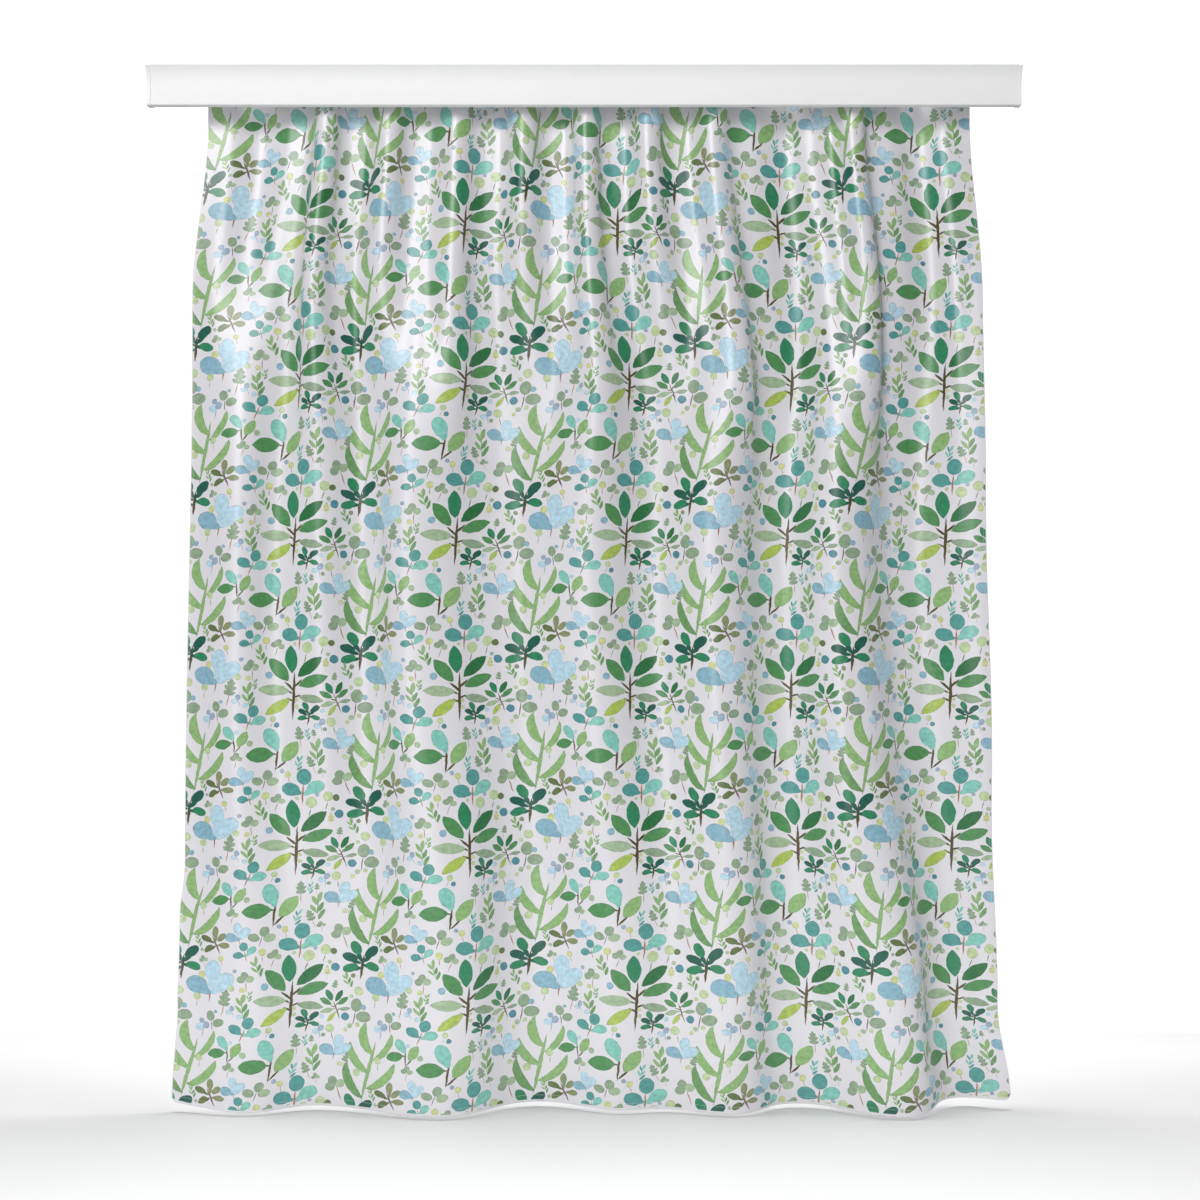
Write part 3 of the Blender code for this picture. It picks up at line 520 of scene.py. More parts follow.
def plain_finish(name, colour, rough, metal=0.0, grain=400.0, depth=0.00002, vary=0.04):
    """Material with a slight change of tone and gloss over it, and a fine grain."""
    nodes = Nodes(name)
    place = nodes.place()
    cloud = nodes.noise(place, 24.0).outputs["Fac"]
    dark = tuple(channel * (1.0 - vary) for channel in colour)
    tone = nodes.mix(nodes.spread(cloud, 0.0, 1.0), (*dark, 1.0), (*colour, 1.0))
    nodes.feed(nodes.shader.inputs["Base Color"], tone)
    fine = nodes.noise(place, grain, 3.0).outputs["Fac"]
    nodes.feed(nodes.shader.inputs["Roughness"], nodes.spread(fine, rough * 0.85, rough * 1.15))
    nodes.shader.inputs["Metallic"].default_value = metal
    nodes.bump(fine, depth)
    return nodes.material


FINISHES = {
    "white_pvc": dict(colour=(0.95, 0.95, 0.952), rough=0.58, grain=260.0, vary=0.015),
    "white_nylon": dict(colour=(0.84, 0.84, 0.83), rough=0.48, grain=900.0, depth=0.00003),
    "zinc_screw": dict(colour=(0.58, 0.58, 0.57), rough=0.32, metal=1.0, grain=900.0, vary=0.08),
    "nickel_plate": dict(
        colour=(0.72, 0.72, 0.71), rough=0.20, metal=1.0, grain=700.0, depth=0.00001, vary=0.03,
    ),
    "hook_wire": dict(
        colour=(0.56, 0.57, 0.58), rough=0.28, metal=1.0, grain=900.0, depth=0.00001, vary=0.06,
    ),
    "lead_weight": dict(colour=(0.30, 0.31, 0.33), rough=0.6, grain=900.0, depth=0.0001),
}


def finish(name):
    """Make one of the plain finishes."""
    return plain_finish(name, **FINISHES[name])


def woven_finish(name, colour):
    """White plain weave, on the piece's own map in metres."""
    nodes = Nodes(name)
    place = nodes.add("ShaderNodeUVMap", uv_map="print_map").outputs[0]
    nodes.feed(nodes.shader.inputs["Base Color"], nodes.mix(
        nodes.spread(nodes.noise(place, 60.0).outputs["Fac"], 0.0, 1.0),
        (*(channel * 0.95 for channel in colour), 1.0), (*colour, 1.0),
    ))
    nodes.shader.inputs["Roughness"].default_value = 0.8
    nodes.shader.inputs["Sheen Weight"].default_value = 0.25
    weave(nodes, place)
    return nodes.material


def weave(nodes, place):
    """Bump of a fine plain weave."""
    waves = []
    for direction in ("X", "Y"):
        wave = nodes.add("ShaderNodeTexWave", bands_direction=direction)
        wave.inputs["Scale"].default_value = 900.0
        nodes.feed(wave.inputs["Vector"], place)
        waves.append(wave.outputs["Fac"])
    nodes.bump(nodes.sum("MAXIMUM", *waves), 0.00004, 0.5)


def thread_finish():
    """White polyester thread with a twist, and painted shade in the grooves of the twist."""
    nodes = Nodes("sewing_thread")
    place = nodes.place()
    wave = nodes.add("ShaderNodeTexWave", bands_direction="DIAGONAL")
    wave.inputs["Scale"].default_value = 700.0
    nodes.feed(wave.inputs["Vector"], place)
    # Painted shade: the twist's grooves, low in the bump, are coloured darker than its crowns.
    nodes.feed(nodes.shader.inputs["Base Color"], nodes.mix(
        wave.outputs["Fac"], (0.72, 0.72, 0.73, 1.0), (0.88, 0.88, 0.88, 1.0),
    ))
    nodes.shader.inputs["Roughness"].default_value = 0.55
    nodes.bump(wave.outputs["Fac"], 0.00005)
    return nodes.material


SOFTNESS = 0.0004   # an ink's edge fades over this
CELLS = 5           # the print is cut into this many materials each way, which renders faster
BLEED = 0.012       # how far a cell's material knows of the strokes outside it


def stroke_middle(motif_place, stroke):
    """Middle of a stroke on the repeat, its turn and its half length, in metres and radians."""
    (across, up), (_, _, x, y, turn, long, _) = motif_place, stroke
    turn = math.radians(turn)
    half = long / 2000
    return (across + x / 1000 + math.cos(turn) * half, up + y / 1000 + math.sin(turn) * half), turn, half


def laid_motifs():
    """Every motif as (its place in metres, its strokes at their size and turn)."""
    result = []
    for name, size, across, up, turn in PLACED:
        cos, sin = math.cos(math.radians(turn)) * size, math.sin(math.radians(turn)) * size
        strokes = [
            (shape, ink, x * cos - y * sin, x * sin + y * cos, way + turn, long * size, wide * size)
            for shape, ink, x, y, way, long, wide in MOTIFS[name]
        ]
        result.append(((across / 1000, up / 1000), strokes))
    for ink, radius, across, up in DOTS:
        dot = ("round", ink, 0, -radius, 90, 2 * radius, 1.9 * radius)
        result.append(((across / 1000, up / 1000), [dot]))
    return result


def touches(motif_place, stroke, low, high, repeat):
    """True if a stroke comes near the cell between two corners of the repeat."""
    middle, _, half = stroke_middle(motif_place, stroke)
    reach = half + stroke[6] / 4000 + BLEED
    for axis in range(2):
        centre, width = (low[axis] + high[axis]) / 2, (high[axis] - low[axis]) / 2
        apart = middle[axis] - centre
        apart -= repeat[axis] * round(apart / repeat[axis])
        if abs(apart) > width + reach:
            return False
    return True


def stroke_depth(nodes, window, motif_place, stroke):
    """How deep a point is inside a stroke, in softnesses."""
    middle, turn, half = stroke_middle(motif_place, stroke)
    shape, width = stroke[0], stroke[6] / 1000
    scale = (half, width / 2 if shape == "round" else width)
    rotate = nodes.add("ShaderNodeVectorRotate", rotation_type="Z_AXIS")
    rotate.inputs["Center"].default_value = (*middle, 0.0)
    rotate.inputs["Angle"].default_value = -turn
    nodes.feed(rotate.inputs["Vector"], window)
    grow = (1 / scale[0], 1 / scale[1], 0.0)
    back = (-middle[0] / scale[0], -middle[1] / scale[1], 0.0)
    spot = nodes.vector("MULTIPLY_ADD", rotate.outputs[0], grow, back)
    grain = scale[1] / SOFTNESS
    if shape == "round":
        return nodes.sum("MULTIPLY_ADD", nodes.vector("LENGTH", spot), -grain, grain)
    if shape == "blade":
        away = nodes.vector("DISTANCE", nodes.vector("ABSOLUTE", spot), (0.0, -0.75, 0.0))
        return nodes.sum("MULTIPLY_ADD", away, -grain, 1.25 * grain)
    side = 1.0 if shape == "left" else -1.0
    inner, outer = 0.16, 0.86
    depths = []
    for bow, sign in ((outer, -1.0), (inner, 1.0)):
        sunk = (1 - bow * bow) / (2 * bow)
        away = nodes.vector("DISTANCE", spot, (0.0, -side * sunk, 0.0))
        depths.append(nodes.sum("MULTIPLY_ADD", away, sign * grain, -sign * (bow + sunk) * grain))
    return nodes.sum("MINIMUM", *depths)


def print_finish(name, low, high, settings):
    """Material of the printed cloth for one cell of the repeat."""
    nodes = Nodes(name)
    repeat = settings.repeat
    ground = (*settings.ground, 1.0)
    uv = nodes.add("ShaderNodeUVMap", uv_map="print_map").outputs[0]
    wobble = nodes.noise(uv, 90.0).outputs["Color"]
    place = nodes.vector("MULTIPLY_ADD", wobble, (0.0035, 0.0035, 0.0), uv)
    colour, depth = ground, None
    for motif_place, strokes in laid_motifs():
        near = [stroke for stroke in strokes if touches(motif_place, stroke, low, high, repeat)]
        if not near:
            continue
        ends = [[centre + way * size / 2 for centre, size in zip(motif_place, repeat)] for way in (1, -1)]
        window = nodes.vector("WRAP", place, (*ends[0], 1.0), (*ends[1], -1.0))
        for stroke in near:
            inside = stroke_depth(nodes, window, motif_place, stroke)
            colour = nodes.mix(inside, colour, (*INKS[stroke[1]], 1.0))
            if stroke[6] > 6:
                depth = inside if depth is None else nodes.sum("MAXIMUM", depth, inside)
    if depth is not None:
        rim = nodes.spread(depth, 0.74, 1.06, 0.5, 3.5)
        blotch = nodes.spread(nodes.noise(uv, 120.0, 3.0).outputs["Fac"], 0.84, 1.17)
        share = nodes.sum("GREATER_THAN", depth, 0.0)
        change = nodes.sum("SUBTRACT", nodes.sum("MULTIPLY", rim, blotch), 1.0)
        wash = nodes.sum("MULTIPLY_ADD", change, share, 1.0)
        shown = nodes.add("ShaderNodeVectorMath", operation="SCALE")
        nodes.feed(shown.inputs[0], colour)
        nodes.feed(shown.inputs[3], wash)
        colour = shown.outputs[0]
    ink = nodes.add("ShaderNodeAttribute", attribute_name="ink").outputs["Fac"]
    nodes.feed(nodes.shader.inputs["Base Color"], nodes.mix(ink, ground, colour))
    nodes.shader.inputs["Roughness"].default_value = 0.32
    nodes.shader.inputs["Specular IOR Level"].default_value = 0.6
    nodes.shader.inputs["Sheen Weight"].default_value = 0.10
    weave(nodes, uv)
    return nodes.material


# ---- the hung cloth ----

def eased(points, share):
    """Read (share, value) turning points, with a smooth run from each to the next."""
    knots, values = np.array(points).T
    share = np.clip(share, knots[0], knots[-1])
    after = np.clip(np.searchsorted(knots, share, side="right"), 1, len(knots) - 1)
    part = (share - knots[after - 1]) / (knots[after] - knots[after - 1])
    return values[after - 1] + (values[after] - values[after - 1]) * (1.0 - np.cos(np.pi * part)) / 2


def header_fold(along, settings):
    """Depth share of the header: flat at every eyelet."""
    pitch = (settings.cut_width - 2 * EYELET_SIDE_INSET) / len(HEADER_FOLDS)
    number = np.floor((along - EYELET_SIDE_INSET) / pitch).astype(int)
    between = (number >= 0) & (number < len(HEADER_FOLDS))
    start = EYELET_SIDE_INSET + number * pitch + EYELET_FLAT
    inside = np.clip((along - start) / (pitch - 2 * EYELET_FLAT), 0.0, 1.0)
    depth = np.array(HEADER_FOLDS)[np.clip(number, 0, len(HEADER_FOLDS) - 1)]
    return np.where(between, depth * (1.0 - np.cos(2 * np.pi * inside)) / 2, 0.0)


def fold_share(along, down, settings):
    """Depth share of the cloth at distances along the cut width, at a share of the drop."""
    to_middle = eased(((STRAIGHT_HEADER / settings.drop, 0.0), (0.45, 1.0)), down)
    to_hem = eased(((0.45, 0.0), (0.95, 1.0)), down)
    share = along / settings.cut_width
    upper = (1.0 - to_middle) * header_fold(along, settings) + to_middle * eased(MIDDLE_FOLDS, share)
    return (1.0 - to_hem) * upper + to_hem * eased(HEM_FOLDS, share)


def creases(along, down, settings):
    """Small creases over the folds, none of them at the header."""
    first = np.sin(2 * np.pi * (along / 0.094 + 0.35 * np.sin(4.1 * down) + 0.11))
    second = np.sin(2 * np.pi * (along / 0.061 - 0.9 * down + 0.4))
    third = np.sin(2 * np.pi * (along / 0.171 + 1.3 * down))
    fade = 0.55 + 0.45 * np.sin(2 * np.pi * (along / 0.43 + 1.1 * down))
    grow = eased(((0.03, 0.0), (0.22, 1.0), (0.97, 0.75), (1.0, 0.6)), down)
    return settings.crease * grow * fade * (0.5 * first + 0.28 * second + 0.4 * third)


def cloth_line(level, stations, settings):
    """Points (x, y) of the cloth at a height, for distances along the cut width.

    The cloth doesn't stretch, so the depth of the folds is the one that takes up its full width.
    """
    down = min(max((HEADER_TOP - level) / settings.drop, 0.0), 1.0)
    left = HEADER_LEFT - eased(LEFT_FLARE, down)
    right = HEADER_LEFT + settings.cut_width / FULLNESS + eased(RIGHT_FLARE, down)
    samples = np.linspace(0.0, settings.cut_width, FOLD_SAMPLES)
    shares = fold_share(samples, down, settings)
    steps, run = np.diff(shares), samples[1]
    shallow, deep = 0.0, run / np.abs(steps).max()
    for _ in range(HALVINGS):
        depth = (shallow + deep) / 2
        if np.sqrt(np.maximum(run * run - (depth * steps) ** 2, 0.0)).sum() > right - left:
            shallow = depth
        else:
            deep = depth
    parts = np.sqrt(np.maximum(run * run - (depth * steps) ** 2, 0.0))
    across = np.concatenate([[0.0], np.cumsum(parts)])
    x = left + np.interp(stations, samples, across) * (right - left) / across[-1]
    y = depth * np.interp(stations, samples, shares) + creases(stations, down, settings)
    return np.column_stack([x, y])


def cloth_points(profile, stations, settings):
    """Points [station][profile point] for a profile of (height, offset to the back)."""
    stations = np.asarray(stations, float)
    lines, rows = {}, []
    hem_share = stations / settings.cut_width
    from_side = np.minimum(stations, settings.cut_width - stations)
    arc = np.clip(settings.corner - from_side, 0.0, settings.corner)
    corner = settings.corner - np.sqrt(settings.corner ** 2 - arc ** 2)
    for level, offset in profile:
        key = round(level, 5)
        if key not in lines:
            line = cloth_line(level, stations, settings)
            slope = np.gradient(line, axis=0)
            slope /= np.linalg.norm(slope, axis=1)[:, None]
            lines[key] = (line, np.column_stack([-slope[:, 1], slope[:, 0]]))
        line, normal = lines[key]
        place = line + normal * offset
        above = level - HEM_BOTTOM
        lift = eased(HEM_LIFT, hem_share) * eased(((0.0, 1.0), (0.35, 0.0)), above)
        lift = lift + corner * eased(((0.0, 1.0), (0.03, 0.0)), above)
        rows.append(np.column_stack([place, level + lift]))
    return np.stack(rows, axis=1)


def panel_path(settings):
    """Path of the panel's section, down, round and up, as (height, offset, outward height and offset)."""
    rows = [0.0, 0.002, 0.005]
    while rows[-1] < settings.drop - 0.075:
        rows.append(rows[-1] + (0.006 if rows[-1] < STRAIGHT_HEADER else settings.row))
    stitch = settings.hem - HEM_SEAM
    ends = (0.060, 0.048, 0.038, 0.030, 0.024, 0.0195, stitch + GROOVE[1], stitch, stitch - GROOVE[1])
    ends += (0.013, 0.009, 0.006, 0.0045, 0.0040, 0.0028)
    levels = [HEADER_TOP - row for row in rows] + [HEM_BOTTOM + end for end in ends]
    path = []
    for level in levels:
        near = (level - HEM_BOTTOM - stitch) / GROOVE[1]
        path.append((level, GROOVE[0] * math.exp(-near * near), 0.0, -1.0))
    roll, half = settings.hem_roll, settings.thickness / 2
    centre = HEM_BOTTOM + roll + half
    for index in range(1, 10):
        turn = math.pi * index / 10
        rise, out = -math.sin(turn), -math.cos(turn)
        path.append((centre + roll * rise, roll + roll * out, rise, out))
    flap = ((0.0, 1.0), (0.3, 0.93), (0.55, 0.66), (0.75, 0.4), (0.89, FLAP_OPEN), (1.0, 0.27))
    for share, out in flap:
        level = centre + (HEM_BOTTOM + settings.hem - centre) * share
        path.append((level, 2 * roll * out + FLAP_GAP * (1 - out), 0.0, 1.0))
    return path


def grid_mesh(name, outer, inner):
    """Close two grids of points [station][row] into one thin body, and say which side each face is on."""
    columns, rows = outer.shape[:2]
    points = np.concatenate([outer.reshape(-1, 3), inner.reshape(-1, 3)])
    index = np.arange(columns * rows).reshape(columns, rows)
    under = index + columns * rows

    def quads(a, b, c, d):
        return np.stack([a, b, c, d], axis=-1).reshape(-1, 4)

    front = quads(index[:-1, :-1], index[:-1, 1:], index[1:, 1:], index[1:, :-1])
    back = quads(under[:-1, :-1], under[1:, :-1], under[1:, 1:], under[:-1, 1:])
    top = quads(index[:-1, 0], index[1:, 0], under[1:, 0], under[:-1, 0])
    foot = quads(index[:-1, -1], under[:-1, -1], under[1:, -1], index[1:, -1])
    left = quads(index[0, :-1], under[0, :-1], under[0, 1:], index[0, 1:])
    right = quads(index[-1, :-1], index[-1, 1:], under[-1, 1:], under[-1, :-1])
    faces = np.concatenate([front, back, top, foot, left, right])
    mesh = bpy.data.meshes.new(name)
    mesh.from_pydata(points.tolist(), [], faces.tolist())
    kinds = np.repeat(np.arange(6), [len(part) for part in (front, back, top, foot, left, right)])
    return mesh, kinds


def write_maps(mesh, kinds, along, travel, down, width):
    """Give a sheet its print map in metres and a bake map whose charts don't overlap."""
    rows = len(travel)
    corner = np.empty(len(mesh.loops), int)
    mesh.loops.foreach_get("vertex_index", corner)
    count = len(along) * rows
    station, row = (corner % count) // rows, corner % rows
    prints = np.column_stack([along[station] * PRINT_SHARE + PRINT_START[0], PRINT_START[1] - down[row]])
    layer = mesh.uv_layers.new(name="print_map")
    layer.data.foreach_set("uv", prints.astype(np.float32).ravel())
    kind = np.repeat(kinds, 4)
    across, travelled = along[station] / width, travel[row] / travel[-1]
    behind = (corner >= count).astype(float)
    bake = np.empty((len(corner), 2))
    # The front and the back as wide charts, then the top and foot edges, then the two sides.
    for number, (start, wide) in enumerate(((0.004, 0.60), (0.61, 0.375))):
        chosen = kind == number
        bake[chosen] = np.column_stack([start + across[chosen] * wide, 0.996 - travelled[chosen] * 0.975])
    for number, low in ((2, 0.002), (3, 0.008)):
        chosen = kind == number
        bake[chosen] = np.column_stack([0.004 + across[chosen] * 0.98, low + behind[chosen] * 0.004])
    for number, low in ((4, 0.988), (5, 0.993)):
        chosen = kind == number
        bake[chosen] = np.column_stack([low + behind[chosen] * 0.004, 0.996 - travelled[chosen] * 0.975])
    layer = mesh.uv_layers.new(name="OFBake")
    layer.data.foreach_set("uv", bake.astype(np.float32).ravel())


def write_ink(mesh, along, from_fold, width):
    """How much print each point of the panel shows: all in front, little behind, none along the edges."""
    side = np.minimum(along, width - along)
    edge = np.clip((side - BARE_EDGE) / BARE_FADE, 0.0, 1.0)
    fold = np.clip((np.abs(from_fold) - BARE_FOLD) / BARE_FADE, 0.0, 1.0)
    front = edge[:, None] * fold[None, :]
    back = np.full_like(front, SHOW_THROUGH) * edge[:, None]
    ink = np.concatenate([front.ravel(), back.ravel()])
    layer = mesh.attributes.new("ink", "FLOAT", "POINT")
    layer.data.foreach_set("value", ink.astype(np.float32))


def curtain_columns(settings):
    """Distances along the cut width where the mesh has its columns."""
    count = round(settings.cut_width / settings.column)
    even = np.linspace(0.0, settings.cut_width, count + 1)
    near = np.array([0.0009, BARE_EDGE, BARE_EDGE + BARE_FADE, 0.0045])
    return np.concatenate([even[:1], near, even[1:-1], settings.cut_width - near[::-1], even[-1:]])


def eyelet_places():
    """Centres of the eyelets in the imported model."""
    boxes = [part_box(name) for name in EYELETS]
    return [(low + high) / 2 for low, high in boxes]


def punched(mesh):
    """Cut the eyelets' holes in the cloth or the tape."""
    return combined(mesh, bars(eyelet_places(), EYELET_HOLE, 0.02, 32), "DIFFERENCE")


def hang(piece):
    """Let a piece of the curtain travel with the curtain's body, on a mesh of its own."""
    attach(piece, "curtain")
    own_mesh(piece)


def make_panel(settings):
    """Printed panel with its hem folded up to the back."""
    path = panel_path(settings)
    along = curtain_columns(settings)
    half = settings.thickness / 2
    heights, offsets, up, out = np.array(path).T
    grids = []
    for sign in (1.0, -1.0):
        profile = list(zip(heights + sign * half * up, offsets + sign * half * out))
        grids.append(cloth_points(profile, along, settings))
    stitch = HEM_BOTTOM + settings.hem - HEM_SEAM
    for grid in grids:
        near = np.exp(-((heights - stitch) / GATHER_SPREAD) ** 2)
        gather = sum(share * np.sin(along * 2 * np.pi / pitch + phase) for share, pitch, phase in GATHERS)
        grid[:, :, 1] += settings.pucker * near[None, :] * gather[:, None]
    mesh, kinds = grid_mesh("curtain_panel_cloth", *grids)
    run = np.concatenate([[0.0], np.cumsum(np.hypot(np.diff(heights), np.diff(offsets)))])
    lowest = run[int(np.argmin(heights))]
    down = np.where(run < lowest, HEADER_TOP - heights, settings.drop - (run - lowest))
    write_maps(mesh, kinds, along, run, down, settings.cut_width)
    write_ink(mesh, along, run - lowest, settings.cut_width)

    repeat = np.array(settings.repeat)
    materials = []
    for cell in range(CELLS * CELLS):
        low = repeat * (cell % CELLS, cell // CELLS) / CELLS
        name = f"cloth_print_{cell // CELLS + 1}{cell % CELLS + 1}"
        materials.append(print_finish(name, low, low + repeat / CELLS, settings))
    loops = np.empty(len(mesh.loops) * 2, np.float32)
    mesh.uv_layers["print_map"].data.foreach_get("uv", loops)
    centres = loops.reshape(-1, 4, 2).mean(axis=1)
    cells = np.floor((centres / repeat % 1.0) * CELLS).astype(int) % CELLS
    for material in materials:
        mesh.materials.append(material)
    mesh.polygons.foreach_set("material_index", (cells[:, 1] * CELLS + cells[:, 0]).astype(np.int32))

    mesh = punched(mesh)
    shade(mesh)
    piece = add_piece("curtain_panel_cloth", mesh, None)
    hang(piece)
    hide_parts("curtain_panel")
    return piece


def make_tape(settings):
    """White header tape behind the eyelets."""
    along = curtain_columns(settings)[1:-1]
    half = settings.thickness / 2
    middle = half + TAPE_GAP + half
    top = HEADER_TOP - TAPE_INSET
    shares = (0, 0.02, 0.06, 0.25, 0.45, 0.65, 0.94, 0.98, 1)
    heights = np.array([top - share * TAPE_HEIGHT for share in shares])
    swell = np.array([0.25, 0.7, 1, 1, 1, 1, 1, 0.7, 0.25])
    outer = cloth_points(list(zip(heights, middle - half * swell)), along, settings)
    inner = cloth_points(list(zip(heights, middle + half * swell)), along, settings)
    mesh, kinds = grid_mesh("header_tape_woven", outer, inner)
    run = top - heights
    write_maps(mesh, kinds, along, run, HEADER_TOP - heights, settings.cut_width)
    mesh.materials.append(woven_finish("header_tape_weave", (0.88, 0.88, 0.885)))
    mesh = punched(mesh)
    shade(mesh)
    piece = add_piece("header_tape_woven", mesh, None)
    hang(piece)
    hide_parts("header_tape")
    return piece


def make_weight(settings):
    """Round cord of lead beads in the hem."""
    radius, sides, bead, inset = 0.0012, 12, 0.006, 0.004
    centre = HEM_BOTTOM + settings.hem_roll + settings.thickness / 2
    along = np.linspace(inset, settings.cut_width - inset, 600)
    beads = radius * (0.86 + 0.14 * np.abs(np.cos(along * np.pi / bead)))
    rings = []
    line = cloth_points([(centre, settings.hem_roll)], along, settings)[:, 0]
    slope = np.gradient(line, axis=0)
    slope /= np.linalg.norm(slope, axis=1)[:, None]
    across = np.column_stack([-slope[:, 1], slope[:, 0], np.zeros(len(slope))])
    across /= np.linalg.norm(across, axis=1)[:, None]
    rise = np.cross(slope, across)
    for index in range(sides):
        turn = 2 * math.pi * index / sides
        rings.append(line + (across * math.cos(turn) + rise * math.sin(turn)) * beads[:, None])
    points = np.stack(rings, axis=1)
    count = len(along)
    faces = [
        (a * sides + b, a * sides + (b + 1) % sides, (a + 1) * sides + (b + 1) % sides, (a + 1) * sides + b)
        for a in range(count - 1) for b in range(sides)
    ]
    faces += [tuple(range(sides)), tuple(range((count - 1) * sides, count * sides))]
    mesh = bpy.data.meshes.new("hem_weight_cord")
    mesh.from_pydata(points.reshape(-1, 3).tolist(), [], faces)
    shade(outward(mesh), 60.0)
    piece = add_piece("hem_weight_cord", mesh, [finish("lead_weight")])
    hang(piece)
    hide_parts("hem_weight")
    return piece


def stitch_lines(settings):
    """Routes of the sewing: the hem, the header tape and the side hems, seen from both sides."""
    half = settings.thickness / 2
    along = np.linspace(SIDE_SEAM, settings.cut_width - SIDE_SEAM, 900)
    hem = HEM_BOTTOM + settings.hem - HEM_SEAM
    tape = 2 * half + TAPE_GAP + half
    top, bottom = (HEADER_TOP - seam for seam in TAPE_SEAMS)
    flap = 2 * settings.hem_roll * FLAP_OPEN + FLAP_GAP * (1 - FLAP_OPEN) + half
    seams = ((hem, -half), (hem, flap), (top, -half), (bottom, -half), (top, tape), (bottom, tape))
    routes = [cloth_points([seam], along, settings)[:, 0] for seam in seams]
    levels = np.linspace(HEADER_TOP - SIDE_SEAM_ENDS[0], HEM_BOTTOM + SIDE_SEAM_ENDS[1], 160)
    aside = SIDE_SEAM / 2
    for side in (SIDE_SEAM, settings.cut_width - SIDE_SEAM):
        for offset in (-half, half):
            band = [side - aside, side, side + aside]
            routes.append(cloth_points([(level, offset) for level in levels], band, settings)[1])
    return routes


def stitch_tree(thread):
    """Geometry nodes that set stitches along routes, with named inputs for their sizes."""
    tree = bpy.data.node_groups.new("stitches", "GeometryNodeTree")
    tree.is_modifier = True
    face = tree.interface
    face.new_socket("Routes", in_out="INPUT", socket_type="NodeSocketGeometry")
    inputs = {}
    for name, least in (("Stitch pitch", 0.001), ("Stitch length", 0.0005), ("Thread radius", 0.00005)):
        inputs[name] = face.new_socket(name, in_out="INPUT", socket_type="NodeSocketFloat")
        inputs[name].min_value = least
    face.new_socket("Geometry", in_out="OUTPUT", socket_type="NodeSocketGeometry")
    nodes, links = tree.nodes, tree.links
    start, end = nodes.new("NodeGroupInput"), nodes.new("NodeGroupOutput")
    curve = nodes.new("GeometryNodeMeshToCurve")
    evenly = nodes.new("GeometryNodeResampleCurve")
    evenly.mode = "LENGTH"
    tangent = nodes.new("GeometryNodeInputTangent")
    align = nodes.new("FunctionNodeAlignRotationToVector")
    align.axis = "Z"
    jitter = nodes.new("FunctionNodeRandomValue")
    jitter.data_type = "FLOAT_VECTOR"
    jitter.inputs["Min"].default_value = (-0.07, -0.07, -0.05)
    jitter.inputs["Max"].default_value = (0.07, 0.07, 0.05)
    jitter.inputs["Seed"].default_value = 7
    leaning = nodes.new("ShaderNodeVectorMath")
    stitch = nodes.new("GeometryNodeMeshCylinder")
    stitch.inputs["Vertices"].default_value = 6
    place = nodes.new("GeometryNodeInstanceOnPoints")
    real = nodes.new("GeometryNodeRealizeInstances")
    coat = nodes.new("GeometryNodeSetMaterial")
    coat.inputs["Material"].default_value = thread
    for source, target in (
        (start.outputs["Routes"], curve.inputs["Mesh"]),
        (curve.outputs["Curve"], evenly.inputs["Curve"]),
        (start.outputs["Stitch pitch"], evenly.inputs["Length"]),
        (start.outputs["Stitch length"], stitch.inputs["Depth"]),
        (start.outputs["Thread radius"], stitch.inputs["Radius"]),
        (tangent.outputs["Tangent"], leaning.inputs[0]),
        (jitter.outputs["Value"], leaning.inputs[1]),
        (leaning.outputs["Vector"], align.inputs["Vector"]),
        (evenly.outputs["Curve"], place.inputs["Points"]),
        (stitch.outputs["Mesh"], place.inputs["Instance"]),
        (align.outputs["Rotation"], place.inputs["Rotation"]),
        (place.outputs["Instances"], real.inputs["Geometry"]),
        (real.outputs["Geometry"], coat.inputs["Geometry"]),
        (coat.outputs["Geometry"], end.inputs["Geometry"]),
    ):
        links.new(source, target)
    return tree, {name: socket.identifier for name, socket in inputs.items()}


def make_stitches(settings, sizes):
    """Rows of stitches along the hem, the header tape and the sides."""
    points, edges = [], []
    for route in stitch_lines(settings):
        first = len(points)
        points += route.tolist()
        edges += [(first + index, first + index + 1) for index in range(len(route) - 1)]
    mesh = bpy.data.meshes.new("stitch_routes")
    mesh.from_pydata(points, edges, [])
    piece = solid("stitch_routes", mesh)
    thread = thread_finish()
    tree, sockets = stitch_tree(thread)
    modifier = piece.modifiers.new("stitches", "NODES")
    modifier.node_group = tree
    modifier[sockets["Stitch pitch"]] = sizes.pitch
    modifier[sockets["Stitch length"]] = sizes.length
    modifier[sockets["Thread radius"]] = sizes.radius
    mesh = cast(piece)
    if not mesh.polygons:
        raise RuntimeError("the stitches have no faces")
    shade(mesh, 60.0)
    piece = add_piece("curtain_stitches", mesh, [thread])
    hang(piece)
    return piece


# ---- fittings ----

def make_eyelets(rail):
    """Pressed eyelets with rolled rims."""
    low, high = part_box(EYELETS[0])
    front, back = low.y, high.y
    # The section as (radius, y), in millimetres.
    profile = [
        (5.0, -0.4), (5.05, -0.85), (5.3, -1.25), (5.8, -1.48), (6.5, -1.5), (7.8, -1.36), (8.8, -1.12),
        (9.35, -0.92), (9.5, -0.78), (9.42, -0.7), (8.4, -0.72), (6.0, -0.75), (6.0, 1.85), (8.4, 1.82),
        (9.42, 1.8), (9.5, 1.9), (9.3, 2.1), (8.6, 2.35), (7.4, 2.55), (6.4, 2.6), (5.7, 2.52),
        (5.25, 2.25), (5.05, 1.85), (5.0, 1.4),
    ]
    profile = [(radius / 1000, min(max(y / 1000, front), back)) for radius, y in profile]
    nickel = finish("nickel_plate")
    for name, place in zip(EYELETS, eyelet_places()):
        number = name[-2:]
        mesh = turned(f"pressed_eyelet_{number}", profile, rail.sides)
        mesh.transform(Matrix.Translation((place.x, 0.0, place.z)))
        shade(mesh, 50.0)
        piece = add_piece(f"pressed_eyelet_{number}", mesh, [nickel])
        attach(piece, f"hanger_{number}")
        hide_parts(name)


